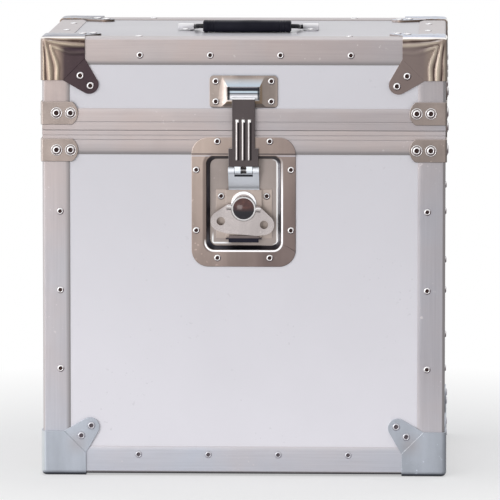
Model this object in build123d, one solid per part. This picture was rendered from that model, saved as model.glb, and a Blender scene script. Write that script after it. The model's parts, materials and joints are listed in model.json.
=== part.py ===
from build123d import *
import os
from math import asin, cos, degrees, pi, sin, sqrt

# A tall lens case of laminated plywood held in aluminium double angles. It has a hinged lid,
# riveted corner caps, a recessed rotary latch with a hook, a folding handle and a foam insert.
# Millimetres, +Z up. The origin is on the floor, midway between the four bottom corner caps.

# Case
case_width = 402.0
case_depth = 320.0
parting_height = 345.0
lid_height = 93.0
parting_gap = 0.4
panel_thick = 7.0
panel_gap = 0.1

# Double angle, and the rim sections that share its sheet
leg_width = 27.5
leg_thick = 1.6
leg_round = 3.0
bevel_width = 4.5
bevel_edge = 0.6
inner_reach = 20.0
inner_thick = 1.2
apex_relief = 10.0

# Rim sections on both sides of the parting line
base_rim_height = 24.0
lid_rim_height = 22.0
rim_inner_height = 14.0
tongue_height = 4.0
tongue_thick = 2.0
tongue_inset = 4.0
tongue_taper = 0.5
groove_outer_gap = 0.4
groove_inner_gap = 1.0
groove_top_gap = 1.0
groove_lip = 1.4
bead_depth = 0.4
bead_width = 0.9
base_bead_heights = (5.0, 9.5)
lid_bead_height = 8.4

# Corner caps
cap_size = 43.0
cap_proud = 1.8
cap_sheet = 1.4
cap_round = 5.2
cap_shoulder = 21.0
cap_tab_centre = 47.0
cap_tab_radius = 9.5
cap_tab_proud = 1.0

# Rim braces
brace_width = 36.0
brace_height = 23.0
brace_thick = 1.5
brace_bow = 6.0
lid_brace_offset = 5.8
base_brace_offset = 8.1
brace_round = 2.5

# Rivet heads
rivet_radius = 3.6
rivet_height = 1.2
rivet_dimple_radius = 1.5
rivet_dimple_depth = 0.8

# Latch dish
dish_width = 104.0
dish_height = 129.6
dish_round = 17.0
dish_sheet = 1.2
dish_centre_drop = 71.4
recess_width = 75.0
recess_height = 94.2
recess_round = 8.0
recess_depth = 12.0
recess_draft = 3.5
recess_centre_drop = 72.4
cutout_gap = 0.4
dish_rivet_spots = ((26.1, 60.8), (47.2, 32.2), (47.2, -28.4), (26.1, -56.0))

# Latch drive: spindle, wing, bridge and link
latch_axis_drop = 77.8
link_travel = 9.5
link_width = 30.8
link_thick = 2.0
link_floor_gap = 0.2
crank_pin_radius = 2.0
crank_slack = 1.1
cam_radius = 8.5
cam_thick = 2.4
neck_radius = 6.0
running_gap = 0.05
stack_gap = 0.2
collar_radius = 12.0
collar_proud = 2.6
dome_radius = 10.6
dome_height = 3.8
bridge_width = 56.0
bridge_inner_width = 32.6
bridge_sheet = 1.6
bridge_above = 18.1
bridge_below = 31.0
bridge_level = 5.6
bridge_rivet_spot = (22.8, 11.4)
rest_lip_width = 30.0
rest_lip_rise = 3.9
rest_lip_drop = 3.1
boss_radius = 12.4
boss_rise = 4.3
boss_gap = 0.3
wing_thick = 1.8
wing_level = 0.2
wing_hole_across = 21.6
wing_hole_below = 14.4
wing_hole_radius = 4.2
wing_lobe_radius = 10.2
wing_notch_radius = 12.6
wing_top = 3.3
wing_shoulder = 15.8
wing_bottom = 26.0
wing_barrel_radius = 2.6
wing_barrel_width = 4.4
wing_pin_radius = 1.5
wing_skew = 4.7

# Hook and keeper
knuckle_drop = 39.4
knuckle_radius = 3.6
knuckle_pin_radius = 1.4
link_knuckle_width = 6.1
hook_knuckle_width = 6.0
knuckle_gap = 0.4
hook_width = 22.8
hook_foot_width = 30.0
hook_foot_height = 22.1
hook_foot_start = 4.0
hook_thick = 2.0
hook_proud = 5.4
hook_lip_thick = 1.7
hook_lip_bite = 2.3
hook_lip_clear = 0.5
hook_rib_pitch = 6.1
hook_rib_width = 3.0
hook_rib_height = 0.9
hook_rib_start = 10.1
hook_rib_length = 41.0
spring_wire_radius = 0.35
spring_radius = 2.1
spring_turns = 4
spring_pitch = 1.15
keeper_width = 68.0
keeper_height = 32.8
keeper_rise = 22.8
keeper_round = 4.0
keeper_sheet = 1.4
keeper_proud = 3.0
keeper_base_width = 43.0
keeper_base_height = 30.0
keeper_top_width = 32.0
keeper_top_height = 14.4
keeper_top_drop = 2.7
keeper_slot_height = 12.7
keeper_rivet_inset = (6.3, 6.3)
hook_seat_gap = 0.3

# Handle
grip_length = 89.0
grip_width = 22.0
grip_height = 12.0
grip_round = 5.0
grip_end_round = 2.0
grip_groove_depth = 0.7
grip_groove_width = 1.8
grip_grooves = 3
grip_groove_pitch = 3.6
grip_groove_start = 5.5
grip_setback = 102.0
bail_radius = 2.25
bail_half_width = 51.5
bail_bend = 7.0
handle_reach = 38.0
handle_pivot_height = 3.4
handle_rest_gap = 0.4
bracket_inner = 55.5
bracket_width = 16.0
bracket_length = 34.0
bracket_sheet = 1.5
bracket_round = 4.0
bracket_hump_radius = 4.6

# Rear hinges
hinge_spread = 110.0
hinge_width = 60.0
hinge_leaf_height = 24.0
hinge_sheet = 1.6
hinge_leaf_round = 5.0
hinge_knuckle_radius = 3.8
hinge_pin_radius = 2.0
hinge_face_gap = 0.2
hinge_knuckles = 5
hinge_knuckle_gap = 0.4

# Foam
foam_gap = 0.3
foam_drop = 14.0
well_width = 210.0
well_depth = 170.0
well_round = 22.0
well_sink = 262.0
scoop_radius = 32.0
scoop_sink = 60.0
pad_thick = 62.0
pad_relief_sink = 16.0
dish_pocket_gap = 3.0

# Places worked out from the sizes above; drops and rises are counted from the parting line
floor_lift = cap_proud
case_height = parting_height + lid_height
front = -case_depth / 2
left = -case_width / 2
channel = leg_thick + panel_thick
section = channel + inner_thick
panel_inset = section + panel_gap
parting = floor_lift + parting_height
top = floor_lift + case_height
groove_web = tongue_height + groove_top_gap
latch_z = parting - latch_axis_drop
recess_z = parting - recess_centre_drop
dish_z = parting - dish_centre_drop
knuckle_z = parting - knuckle_drop
knuckle_level = knuckle_radius - hook_proud
flange_level = leg_thick - dish_sheet
floor_level = flange_level + recess_depth
crank = link_travel / 2
keeper_foot = parting + keeper_rise
keeper_z = keeper_foot + keeper_height / 2
hinge_axis_y = case_depth / 2 + hinge_knuckle_radius + hinge_face_gap
hinge_axis_z = parting + parting_gap / 2
diagonal = Plane(origin=(0, 0, 0), z_dir=(1, -1, 0))
facing_x = Plane(origin=(0, 0, 0), x_dir=(0, 1, 0), z_dir=(1, 0, 0))
facing_y = Plane(origin=(0, 0, 0), x_dir=(0, 0, 1), z_dir=(0, 1, 0))


def block(x, y, z):
    """Box between two limits on each axis."""
    middle = Pos(sum(x) / 2, sum(y) / 2, sum(z) / 2)
    return middle * Box(x[1] - x[0], y[1] - y[0], z[1] - z[0])


def rect(x0, x1, y0, y1):
    return Pos((x0 + x1) / 2, (y0 + y1) / 2) * Rectangle(x1 - x0, y1 - y0)


def front_plane(level, height):
    """Sketch plane that faces the viewer, a level behind the outer face of the front angles."""
    return Plane(origin=(0, front + level, height), x_dir=(1, 0, 0), z_dir=(0, -1, 0))


def swap_x(shape):
    return mirror(shape, about=Plane.YZ)


def swap_y(shape):
    return mirror(shape, about=Plane.XZ)


def four_corners(shape):
    """The shape at the front left corner and its mirror images at the other three."""
    return {
        "front_left": shape,
        "front_right": swap_x(shape),
        "back_left": swap_y(shape),
        "back_right": swap_x(swap_y(shape)),
    }


def all_three_faces(shape):
    """A shape on the face square to Z, repeated on the faces square to X and to Y."""
    return shape + facing_x * shape + facing_y * shape


def rod(radius, x0, x1, y, z):
    """Cylinder along X."""
    along = Plane(origin=(x0, y, z), x_dir=(0, 1, 0), z_dir=(1, 0, 0))
    return extrude(along * Circle(radius), x1 - x0)


# Double angles


def edge_bevel(width, side):
    """Triangle that thins a leg of the angle towards its free edge; side is its outer face."""
    edge = leg_thick - bevel_edge
    return Polygon((width - bevel_width, side), (width, side), (width, side + edge), align=None)


def angle_profile():
    """Outer corner at the origin, legs along +X and +Y, with a channel for a panel in each."""
    half = rect(0, leg_width, 0, leg_thick)
    half += rect(channel, inner_reach, channel, section)
    half += rect(channel, section, leg_thick, channel)
    half -= edge_bevel(leg_width, 0)
    profile = half + mirror(half, about=diagonal)
    corner = profile.vertices().sort_by(lambda v: v.X + v.Y)[0]
    return fillet(corner, leg_round)


def mitre_cutter(reach, relief):
    """What a mitred end loses: all that is nearer the end than it is to the outer face."""
    past = 1.0
    outline = Polygon(
        (-past, -past),
        (reach + past, -past),
        (reach + past, reach + past),
        (relief, relief),
        (-past, relief),
        align=None,
    )
    return extrude(Plane.XZ * outline, reach + case_height, both=True)


def angle_bar(length, both_ends=True):
    """Double angle along +Z with its outer corner on the Z axis, mitred at its ends."""
    cutter = mitre_cutter(leg_width, apex_relief)
    cutter += mirror(cutter, about=diagonal)
    bar = extrude(angle_profile(), length) - cutter
    if both_ends:
        bar -= mirror(cutter, about=Plane.XY.offset(length / 2))
    return bar


def frame_angles(top_side):
    """Four mitred angles round the bottom, or round the top as its mirror image."""
    corner = (left, front, floor_lift)
    front_bar = Plane(origin=corner, x_dir=(0, 1, 0), z_dir=(1, 0, 0)) * angle_bar(case_width)
    left_bar = Plane(origin=corner, x_dir=(0, 0, 1), z_dir=(0, 1, 0)) * angle_bar(case_depth)
    bars = {
        "front": front_bar,
        "back": swap_y(front_bar),
        "left": left_bar,
        "right": swap_x(left_bar),
    }
    if top_side:
        middle = Plane.XY.offset(floor_lift + case_height / 2)
        bars = {side: mirror(bar, about=middle) for side, bar in bars.items()}
    return bars


def base_corner_angle():
    length = parting_height - base_rim_height
    return Pos(left, front, floor_lift) * angle_bar(length, both_ends=False)


def lid_corner_post():
    length = lid_height - lid_rim_height
    post = Pos(left, front, 0) * angle_bar(length, both_ends=False)
    return mirror(post, about=Plane.XY.offset(top / 2))


# Rim sections


def bead(height):
    """Shallow groove rolled along the outer face of a rim."""
    return rect(0, bead_depth, height - bead_width / 2, height + bead_width / 2)


def rim_bevel(height, inward):
    edge = leg_thick - bevel_edge
    return Polygon((0, height - inward * bevel_width), (0, height), (edge, height), align=None)


def base_rim_profile():
    """X runs into the case from the outer face and Y is the height over the parting line."""
    tip = tongue_taper
    profile = rect(0, leg_thick, -base_rim_height, 0)
    profile += rect(channel, section, -rim_inner_height, 0)
    profile += rect(0, section, -leg_thick, 0)
    profile += Polygon(
        (tongue_inset, 0),
        (tongue_inset + tongue_thick, 0),
        (tongue_inset + tongue_thick - tip, tongue_height),
        (tongue_inset + tip, tongue_height),
        align=None,
    )
    profile -= rim_bevel(-base_rim_height, -1)
    for height in base_bead_heights:
        profile -= bead(-height)
    return profile


def lid_rim_profile():
    """The groove takes the tongue with room for its swing at the hinge side."""
    foot = parting_gap
    profile = rect(0, leg_thick, foot, lid_rim_height)
    profile += rect(channel, section, foot, rim_inner_height)
    profile += rect(0, section, groove_web, groove_web + inner_thick)
    profile += rect(0, tongue_inset - groove_outer_gap, foot, foot + groove_lip)
    inner_lip = tongue_inset + tongue_thick + groove_inner_gap
    profile += rect(inner_lip, section, foot, foot + groove_lip)
    profile -= rim_bevel(lid_rim_height, 1)
    return profile - bead(lid_bead_height)


def rim_bar(profile, length):
    """Rim along +Z, mitred in its own height."""
    cutter = mitre_cutter(section, 0)
    far_cutter = mirror(cutter, about=Plane.XY.offset(length / 2))
    return extrude(profile, length) - cutter - far_cutter


def rim_frame(profile):
    """Four rim bars round the case at the parting line."""
    front_bar = Plane(origin=(left, front, parting), x_dir=(0, 1, 0), z_dir=(1, 0, 0))
    left_bar = Plane(origin=(left, -front, parting), x_dir=(1, 0, 0), z_dir=(0, -1, 0))
    front_bar *= rim_bar(profile, case_width)
    left_bar *= rim_bar(profile, case_depth)
    return {
        "front": front_bar,
        "back": swap_y(front_bar),
        "left": left_bar,
        "right": swap_x(left_bar),
    }


# Panels


def base_panels():
    """Five boards; each wall ends inside the channels of the angles and of the rim."""
    wall_top = parting - leg_thick - panel_gap
    wall_z = (floor_lift + panel_inset, wall_top)
    half_x = -left - panel_inset
    half_y = -front - panel_inset
    near = (front + leg_thick, front + channel)
    side = (left + leg_thick, left + channel)
    front_panel = block((-half_x, half_x), near, wall_z)
    side_panel = block(side, (-half_y, half_y), wall_z)
    hole = RectangleRounded(
        recess_width + 2 * (dish_sheet + cutout_gap),
        recess_height + 2 * (dish_sheet + cutout_gap),
        recess_round + dish_sheet + cutout_gap,
    )
    cutout = extrude(front_plane(0, recess_z) * hole, -section)
    floor_z = (floor_lift + leg_thick, floor_lift + channel)
    return {
        "front": front_panel - cutout,
        "back": swap_y(front_panel),
        "left": side_panel,
        "right": swap_x(side_panel),
        "bottom": block((-half_x, half_x), (-half_y, half_y), floor_z),
    }


def lid_panels():
    wall_foot = parting + groove_web + inner_thick + panel_gap
    wall_z = (wall_foot, top - panel_inset)
    half_x = -left - panel_inset
    half_y = -front - panel_inset
    front_panel = block((-half_x, half_x), (front + leg_thick, front + channel), wall_z)
    side_panel = block((left + leg_thick, left + channel), (-half_y, half_y), wall_z)
    return {
        "front": front_panel,
        "back": swap_y(front_panel),
        "left": side_panel,
        "right": swap_x(side_panel),
        "top": block((-half_x, half_x), (-half_y, half_y), (top - channel, top - leg_thick)),
    }


# Corner caps


def cap_block(start, stop, radius):
    """Cube whose corner nearest the apex is a ball and whose three edges there are round."""
    cube = block((start, stop), (start, stop), (start, stop))
    apex = cube.vertices().sort_by(lambda v: v.X + v.Y + v.Z)[0]
    edges = [edge for edge in cube.edges() if apex in edge.vertices()]
    return fillet(edges, radius)


def cap_outline(inset):
    """One face of the cap: a square without its inner corner, where the tab leaves it."""
    reach = cap_size - inset
    shoulder = cap_shoulder - inset * (sqrt(2) - 1)
    return Polygon(
        (-cap_proud, -cap_proud),
        (reach, -cap_proud),
        (reach, shoulder),
        (shoulder, reach),
        (-cap_proud, reach),
        align=None,
    )


def cap_tab():
    """Diagonal tab for two rivets, drawn as the hull of the shoulder and of its round end."""
    shoulder = Edge.make_line((cap_size, cap_shoulder), (cap_shoulder, cap_size))
    end = Pos(cap_tab_centre, cap_tab_centre) * Circle(cap_tab_radius)
    outline = make_hull([shoulder, *end.edges()])
    tab = extrude(outline, leg_thick + cap_tab_proud)
    return Pos(0, 0, -cap_tab_proud) * tab


def corner_cap():
    """Pressed cap for the corner at the origin, open towards the case."""
    depth = leg_thick + cap_proud
    shell = cap_block(-cap_proud, cap_size + cap_proud, cap_round)
    shell &= all_three_faces(Pos(0, 0, -cap_proud) * extrude(cap_outline(0), depth))
    inside = cap_sheet - cap_proud
    hollow = cap_block(inside, cap_size + cap_proud, cap_round - cap_sheet)
    hollow &= all_three_faces(Pos(0, 0, inside) * extrude(cap_outline(cap_sheet), depth))
    reach = cap_tab_centre + cap_tab_radius + leg_width
    leg = block((0, leg_width), (0, reach), (0, leg_thick))
    legs = all_three_faces(leg + mirror(leg, about=diagonal)) & cap_block(0, reach, leg_round)
    return shell - hollow + all_three_faces(cap_tab()) - legs


# Rim braces


def brace():
    """Angle plate that holds a mitred rim corner together; both of its ends are bowed."""
    half = brace_height / 2
    flat = brace_width - brace_bow
    plate = block((-brace_thick, flat), (-brace_thick, 0), (-half, half))
    bow = make_face([
        Line((flat, -half), (flat, half)),
        ThreePointArc((flat, half), (brace_width, 0), (flat, -half)),
    ])
    plate += extrude(Plane.XZ * bow, brace_thick)
    shape = plate + mirror(plate, about=diagonal)
    edge = shape.edges().filter_by(Axis.Z).sort_by(lambda e: e.center().X + e.center().Y)[0]
    return fillet(edge, brace_round)


def braces(side):
    """Four braces at one height; side is 1 for the lid and -1 for the base."""
    offset = lid_brace_offset if side > 0 else base_brace_offset
    centre = parting + side * (offset + brace_height / 2)
    corner = Pos(left, front, centre) * brace()
    return Compound(children=list(four_corners(corner).values()))


# Rivets


def rivet(radius=rivet_radius, height=rivet_height):
    """Low domed head with the dimple that its mandrel leaves; it rises along +Z."""
    head = extrude(Circle(radius), height, taper=35)
    return head - Pos(0, 0, height - rivet_dimple_depth) * Cylinder(
        rivet_dimple_radius, rivet_dimple_depth, align=(Align.CENTER, Align.CENTER, Align.MIN)
    )


def latch_rivets():
    """Eight heads round the dish and two on the bridge."""
    heads = []
    for across, up in dish_rivet_spots:
        height = dish_z + up
        on_rim = height > parting - base_rim_height
        level = -dish_sheet if on_rim else flange_level
        for side in (-1, 1):
            heads.append(front_plane(level, height) * Pos(side * across, 0) * rivet())
    across, up = bridge_rivet_spot
    for side in (-1, 1):
        seat = front_plane(floor_level - bridge_sheet, latch_z + up)
        heads.append(seat * Pos(side * across, 0) * rivet())
    return Compound(children=heads)


def keeper_rivets():
    across = keeper_width / 2 - keeper_rivet_inset[0]
    up = keeper_height / 2 - keeper_rivet_inset[1]
    seat = front_plane(leg_thick - keeper_sheet, keeper_z)
    spots = [Pos(x, z) for x in (-across, across) for z in (-up, up)]
    return [seat * spot * rivet() for spot in spots]


# Latch dish and drive


def rounded_loft(level0, level1, height, size0, size1):
    """Tapered block between two rounded rectangles, each (width, height, corner radius)."""
    first = front_plane(level0, height) * RectangleRounded(*size0)
    second = front_plane(level1, height) * RectangleRounded(*size1)
    return loft([first, second])


def latch_dish():
    """Drawn pan with a flange that steps out over the lower edge of the rim."""
    size0 = (recess_width, recess_height, recess_round)
    size1 = tuple(size - recess_draft * 2 for size in size0[:2]) + (recess_round - 1,)
    wall = 2 * dish_sheet
    outer0 = (size0[0] + wall, size0[1] + wall, size0[2] + dish_sheet)
    outer1 = (size1[0] + wall, size1[1] + wall, size1[2] + dish_sheet)
    back_level = floor_level + dish_sheet
    pan = rounded_loft(flange_level, back_level, recess_z, outer0, outer1)
    cavity = rounded_loft(flange_level, floor_level, recess_z, size0, size1)
    outline = RectangleRounded(dish_width, dish_height, dish_round)
    blank = extrude(front_plane(leg_thick, dish_z) * outline, leg_thick + dish_sheet)
    rim_edge = parting - base_rim_height
    across = (left, -left)
    low = block(across, (front + flange_level, front + leg_thick), (floor_lift, rim_edge))
    high = block(across, (front - dish_sheet, front), (rim_edge, parting))
    step_z = (rim_edge - dish_sheet, rim_edge)
    step = block(across, (front - dish_sheet, front + leg_thick), step_z)
    opening = front_plane(-dish_sheet, recess_z) * RectangleRounded(*size0)
    cavity += extrude(opening, -dish_sheet - flange_level)
    return (blank & (low + high + step)) + pan - cavity


def bridge():
    """Riveted plate that carries the spindle and leaves a way under it for the link."""
    z = (latch_z - bridge_below, latch_z + bridge_above)
    outer = bridge_inner_width / 2 + bridge_sheet
    deck_y = (front + bridge_level, front + bridge_level + bridge_sheet)
    foot_y = (front + floor_level - bridge_sheet, front + floor_level)
    plate = block((-outer, outer), deck_y, z)
    for side in (-1, 1):
        inner = side * bridge_inner_width / 2
        wall_x = sorted((inner, side * outer))
        foot_x = sorted((inner, side * bridge_width / 2))
        plate += block(wall_x, (deck_y[0], foot_y[1]), z)
        plate += block(foot_x, foot_y, z)
    bore = Circle(neck_radius + running_gap)
    return plate + bearing_boss() - extrude(front_plane(0, latch_z) * bore, -floor_level)


def bearing_boss():
    """Raised crescent of the bridge over the collar, behind the sweep of the wing's crown."""
    level = wing_level - wing_thick / 2 + wing_top + boss_gap
    crescent = Pos(0, boss_rise) * Circle(boss_radius) - Circle(collar_radius + boss_gap)
    return extrude(front_plane(bridge_level, latch_z) * crescent, bridge_level - level)


def wing_rest():
    """Shelf at the foot of the bridge, with a lip that the folded wing lies on."""
    wide = (-bridge_inner_width / 2 - bridge_sheet, bridge_inner_width / 2 + bridge_sheet)
    z = latch_z - bridge_below
    lip_y = front + wing_level + stack_gap
    lip_x = (-rest_lip_width / 2, rest_lip_width / 2)
    shelf = block(wide, (lip_y, front + bridge_level), (z, z + bridge_sheet))
    return shelf + block(lip_x, (lip_y, lip_y + bridge_sheet), (z - rest_lip_drop, z + rest_lip_rise))


def spindle():
    """Turned in one piece: cam with its crank pin, neck in the bridge, collar and wing pins."""
    cam_back = bridge_level + bridge_sheet + stack_gap + cam_thick
    cam_front = cam_back - cam_thick
    collar_back = bridge_level - stack_gap
    body = extrude(front_plane(cam_back, latch_z) * Circle(cam_radius), cam_thick)
    body += extrude(front_plane(cam_front, latch_z) * Circle(neck_radius), cam_front - collar_back)
    collar = extrude(
        front_plane(collar_back, latch_z) * Circle(collar_radius), collar_back + collar_proud
    )
    body += collar
    pin_end = floor_level - link_floor_gap
    pin = front_plane(pin_end, latch_z - crank) * Circle(crank_pin_radius)
    body += extrude(pin, pin_end - cam_back)
    reach = wing_barrel_end() - stack_gap
    return body + skewed(rod(wing_pin_radius, -reach, reach, wing_pin_y(), latch_z))


def wing_barrel_end():
    return wing_notch_radius + wing_barrel_width


def wing_pin_y():
    return front + wing_level - wing_thick / 2


def spindle_dome():
    """Polished rivet head on the spindle, a shallow ball segment."""
    ball_radius = (dome_radius**2 + dome_height**2) / (2 * dome_height)
    profile = make_face([
        Line((0, 0), (dome_radius, 0)),
        RadiusArc((dome_radius, 0), (0, dome_height), -ball_radius),
        Line((0, dome_height), (0, 0)),
    ])
    dome = revolve(Plane.XZ * profile, Axis.Z)
    return front_plane(-collar_proud, latch_z) * dome


def wing():
    """Folding thumb wing: two pierced lobes joined under the spindle, hinged on barrels."""
    lobes = [Pos(side * wing_hole_across, -wing_hole_below) for side in (-1, 1)]
    ends = [edge for spot in lobes for edge in (spot * Circle(wing_lobe_radius)).edges()]
    crown = Edge.make_line((-wing_shoulder, wing_top), (wing_shoulder, wing_top))
    keel = Edge.make_line((-wing_shoulder, -wing_bottom), (wing_shoulder, -wing_bottom))
    outline = make_hull([crown, keel, *ends])
    outline -= Circle(wing_notch_radius)
    outline -= rect(-wing_notch_radius, wing_notch_radius, 0, wing_lobe_radius)
    for spot in lobes:
        outline -= spot * Circle(wing_hole_radius)
    plate = extrude(front_plane(wing_level, latch_z) * outline, wing_thick)
    reach = wing_barrel_end()
    for side in (-1, 1):
        x0, x1 = sorted((side * wing_notch_radius, side * reach))
        plate += rod(wing_barrel_radius, x0, x1, wing_pin_y(), latch_z)
    return plate - rod(wing_pin_radius + running_gap, -reach, reach, wing_pin_y(), latch_z)


def link():
    """Sliding plate that the crank pin lifts, bent out to the two knuckles of the hook."""
    back = front + floor_level - link_floor_gap
    foot = latch_z - crank - crank_pin_radius - crank_slack - link_thick
    bend = latch_z + bridge_above + link_thick
    side = [
        (back, foot),
        (back, bend),
        (front + knuckle_level + link_thick / 2, knuckle_z),
        (front + knuckle_level - link_thick / 2, knuckle_z - link_thick / 2),
        (back - link_thick, bend - link_thick / 2),
        (back - link_thick, foot),
    ]
    outline = Plane.YZ * Polygon(*side, align=None)
    plate = extrude(outline, link_width / 2, both=True)
    inner = link_width / 2 - link_knuckle_width
    axis = (front + knuckle_level, knuckle_z)
    for x0, x1 in ((-link_width / 2, -inner), (inner, link_width / 2)):
        plate += rod(knuckle_radius, x0, x1, *axis)
    plate -= rod(knuckle_radius + knuckle_gap, -inner, inner, *axis)
    plate -= rod(knuckle_pin_radius, -link_width / 2, link_width / 2, *axis)
    slot = SlotCenterToCenter(2 * crank, 2 * (crank_pin_radius + crank_slack))
    return plate - extrude(front_plane(0, latch_z - crank) * slot, -section - floor_level)


def knuckle_pin():
    return rod(knuckle_pin_radius, -link_width / 2, link_width / 2, front + knuckle_level, knuckle_z)


def hook():
    """Strap with three pressed ribs, a foot with two knuckles, and a lip behind the keeper."""
    outer = front - hook_proud
    inner = outer + hook_thick
    seat = keeper_foot + keeper_lip_height() + hook_seat_gap
    crest = seat + hook_thick
    lip_y = (front + leg_thick - hook_lip_clear - hook_lip_thick, front + leg_thick - hook_lip_clear)
    foot_z = knuckle_z + hook_foot_start
    strap_x = (-hook_width / 2, hook_width / 2)
    foot_x = (-hook_foot_width / 2, hook_foot_width / 2)
    strap = block(strap_x, (outer, inner), (foot_z, crest))
    strap += block(strap_x, (outer, lip_y[1]), (seat, crest))
    strap += block(strap_x, lip_y, (seat - hook_seat_gap - hook_lip_bite, crest))
    bends = strap.edges().filter_by(Axis.X).group_by(Axis.Z)[-1]
    strap = fillet(bends, hook_thick - hook_seat_gap)
    strap += block(foot_x, (outer, inner), (foot_z, knuckle_z + hook_foot_height))
    rib_z = knuckle_z + hook_rib_start + hook_rib_length / 2
    rib = SlotOverall(hook_rib_length, hook_rib_width, rotation=90)
    for place in (-hook_rib_pitch, 0, hook_rib_pitch):
        bar = extrude(front_plane(-hook_proud, rib_z) * Pos(place, 0) * rib, hook_rib_height, taper=25)
        strap += bar
    axis = (front + knuckle_level, knuckle_z)
    end = link_width / 2 - link_knuckle_width - knuckle_gap
    start = end - hook_knuckle_width
    for x0, x1 in ((-end, -start), (start, end)):
        strap += rod(knuckle_radius, x0, x1, *axis)
        strap += block((x0, x1), (outer, inner), (knuckle_z, foot_z))
        strap -= rod(knuckle_pin_radius + running_gap, x0, x1, *axis)
    return strap


def keeper_lip_height():
    """Height of the slot's lower edge over the foot of the keeper."""
    top_edge = keeper_height / 2 - keeper_top_drop + keeper_top_height / 2
    return top_edge - keeper_slot_height


def keeper():
    """Plate with a raised, sloping box and the slot that the hook drops into."""
    level = leg_thick - keeper_sheet
    outline = RectangleRounded(keeper_width, keeper_height, keeper_round)
    plate = extrude(front_plane(leg_thick, keeper_z) * outline, keeper_sheet)
    raised_z = keeper_z - keeper_top_drop
    base = front_plane(level, keeper_z) * Rectangle(keeper_base_width, keeper_base_height)
    crown = front_plane(-keeper_proud, raised_z) * Rectangle(keeper_top_width, keeper_top_height)
    under = keeper_sheet
    base_in = Rectangle(keeper_base_width - 2 * under, keeper_base_height - 2 * under)
    crown_in = Rectangle(keeper_top_width - 2 * under, keeper_top_height - under)
    shell = plate + loft([base, crown])
    hollow = loft([
        front_plane(leg_thick, keeper_z) * base_in,
        front_plane(under - keeper_proud, raised_z) * crown_in,
    ])
    foot = keeper_foot + keeper_lip_height()
    slot_x = (-keeper_top_width / 2, keeper_top_width / 2)
    slot_y = (front - keeper_proud, front + leg_thick)
    return shell - hollow - block(slot_x, slot_y, (foot, foot + keeper_slot_height))


def spring_point(turn):
    """Place on the centre line of the spring, a number of turns from its start."""
    angle = 2 * pi * turn
    along = (turn - spring_turns / 2) * spring_pitch
    across = Vector(0, spring_radius * cos(angle), spring_radius * sin(angle))
    return Vector(along, front + knuckle_level, knuckle_z) + across


def spring_heading(turn):
    angle = 2 * pi * turn
    speed = 2 * pi * spring_radius
    return Vector(spring_pitch, -speed * sin(angle), speed * cos(angle)).normalized()


def torsion_spring():
    """Coil round the knuckle pin, one unbroken wire of arcs; each quarter turn is two arcs."""
    edges = []
    quarters = 4 * spring_turns
    for step in range(quarters):
        p0, p1 = spring_point(step / 4), spring_point((step + 1) / 4)
        t0, t1 = spring_heading(step / 4), spring_heading((step + 1) / 4)
        chord, both = p1 - p0, t0 + t1
        spread = 2 * (1 - t0.dot(t1))
        reach = (sqrt(chord.dot(both) ** 2 + spread * chord.dot(chord)) - chord.dot(both)) / spread
        joint = (p0 + p1 + (t0 - t1) * reach) * 0.5
        edges.append(Edge.make_tangent_arc(p0, t0, joint))
        edges.append(Edge.make_tangent_arc(joint, joint_heading(p0, t0, joint), p1))
    path = Wire(edges)
    print("spring, least gap to itself", round(spring_gap(path), 3))
    start = Plane(origin=spring_point(0), z_dir=spring_heading(0))
    return sweep(start * Circle(spring_wire_radius), path)


def spring_gap(path):
    """Least gap between stretches of the wire that lie half a turn or more apart."""
    per_turn = 48
    count = per_turn * spring_turns
    points = [path @ (step / count) for step in range(count + 1)]
    apart = per_turn // 2
    gaps = [
        (points[later] - points[earlier]).length
        for earlier in range(count - apart + 1)
        for later in range(earlier + apart, count + 1)
    ]
    return min(gaps) - 2 * spring_wire_radius


def joint_heading(start, tangent, end):
    """Heading of an arc at its end, from its start and its heading there."""
    chord = (end - start).normalized()
    return chord * (2 * tangent.dot(chord)) - tangent


# Handle


def handle_path():
    """Corners of the bail on its own plane: X across the case, Y from the pivot to the grip."""
    pivot_end = bracket_inner + bracket_width - bracket_sheet
    half = bail_half_width
    points = [
        (-pivot_end, 0),
        (-half, 0),
        (-half, -handle_reach),
        (half, -handle_reach),
        (half, 0),
        (pivot_end, 0),
    ]
    return FilletPolyline(*points, radius=bail_bend)


def handle_plane():
    """Place of the pivot line; at rest the bail slopes up until the grip clears the lid."""
    lid_face = top - leg_thick
    rise = grip_height / 2 + handle_rest_gap - handle_pivot_height
    pivot_y = front + grip_setback + sqrt(handle_reach**2 - rise**2)
    tilt = degrees(asin(rise / handle_reach))
    return Plane((0, pivot_y, lid_face + handle_pivot_height)) * Rot(-tilt, 0, 0)


def handle_bail():
    path = handle_path()
    start = Plane(origin=path @ 0, z_dir=path % 0)
    return handle_plane() * sweep(start * Circle(bail_radius), path)


def handle_grip():
    """Moulded grip with three grooves at each end, level at rest, with the bail through it."""
    outline = RectangleRounded(grip_width, grip_height, grip_round)
    end = handle_plane() * Pos(-grip_length / 2, -handle_reach, 0)
    across = Plane(origin=end.position, x_dir=(0, 1, 0), z_dir=(1, 0, 0))
    grip = extrude(across * outline, grip_length)
    grip = fillet(grip.faces().filter_by(Axis.X).edges(), grip_end_round)
    ring = outline - offset(outline, amount=-grip_groove_depth)
    for index in range(grip_grooves):
        start = grip_groove_start + index * grip_groove_pitch
        for x in (start, grip_length - start - grip_groove_width):
            grip -= extrude(across.offset(x) * ring, grip_groove_width)
    return grip - extrude(across * Circle(bail_radius + running_gap), grip_length)


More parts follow.
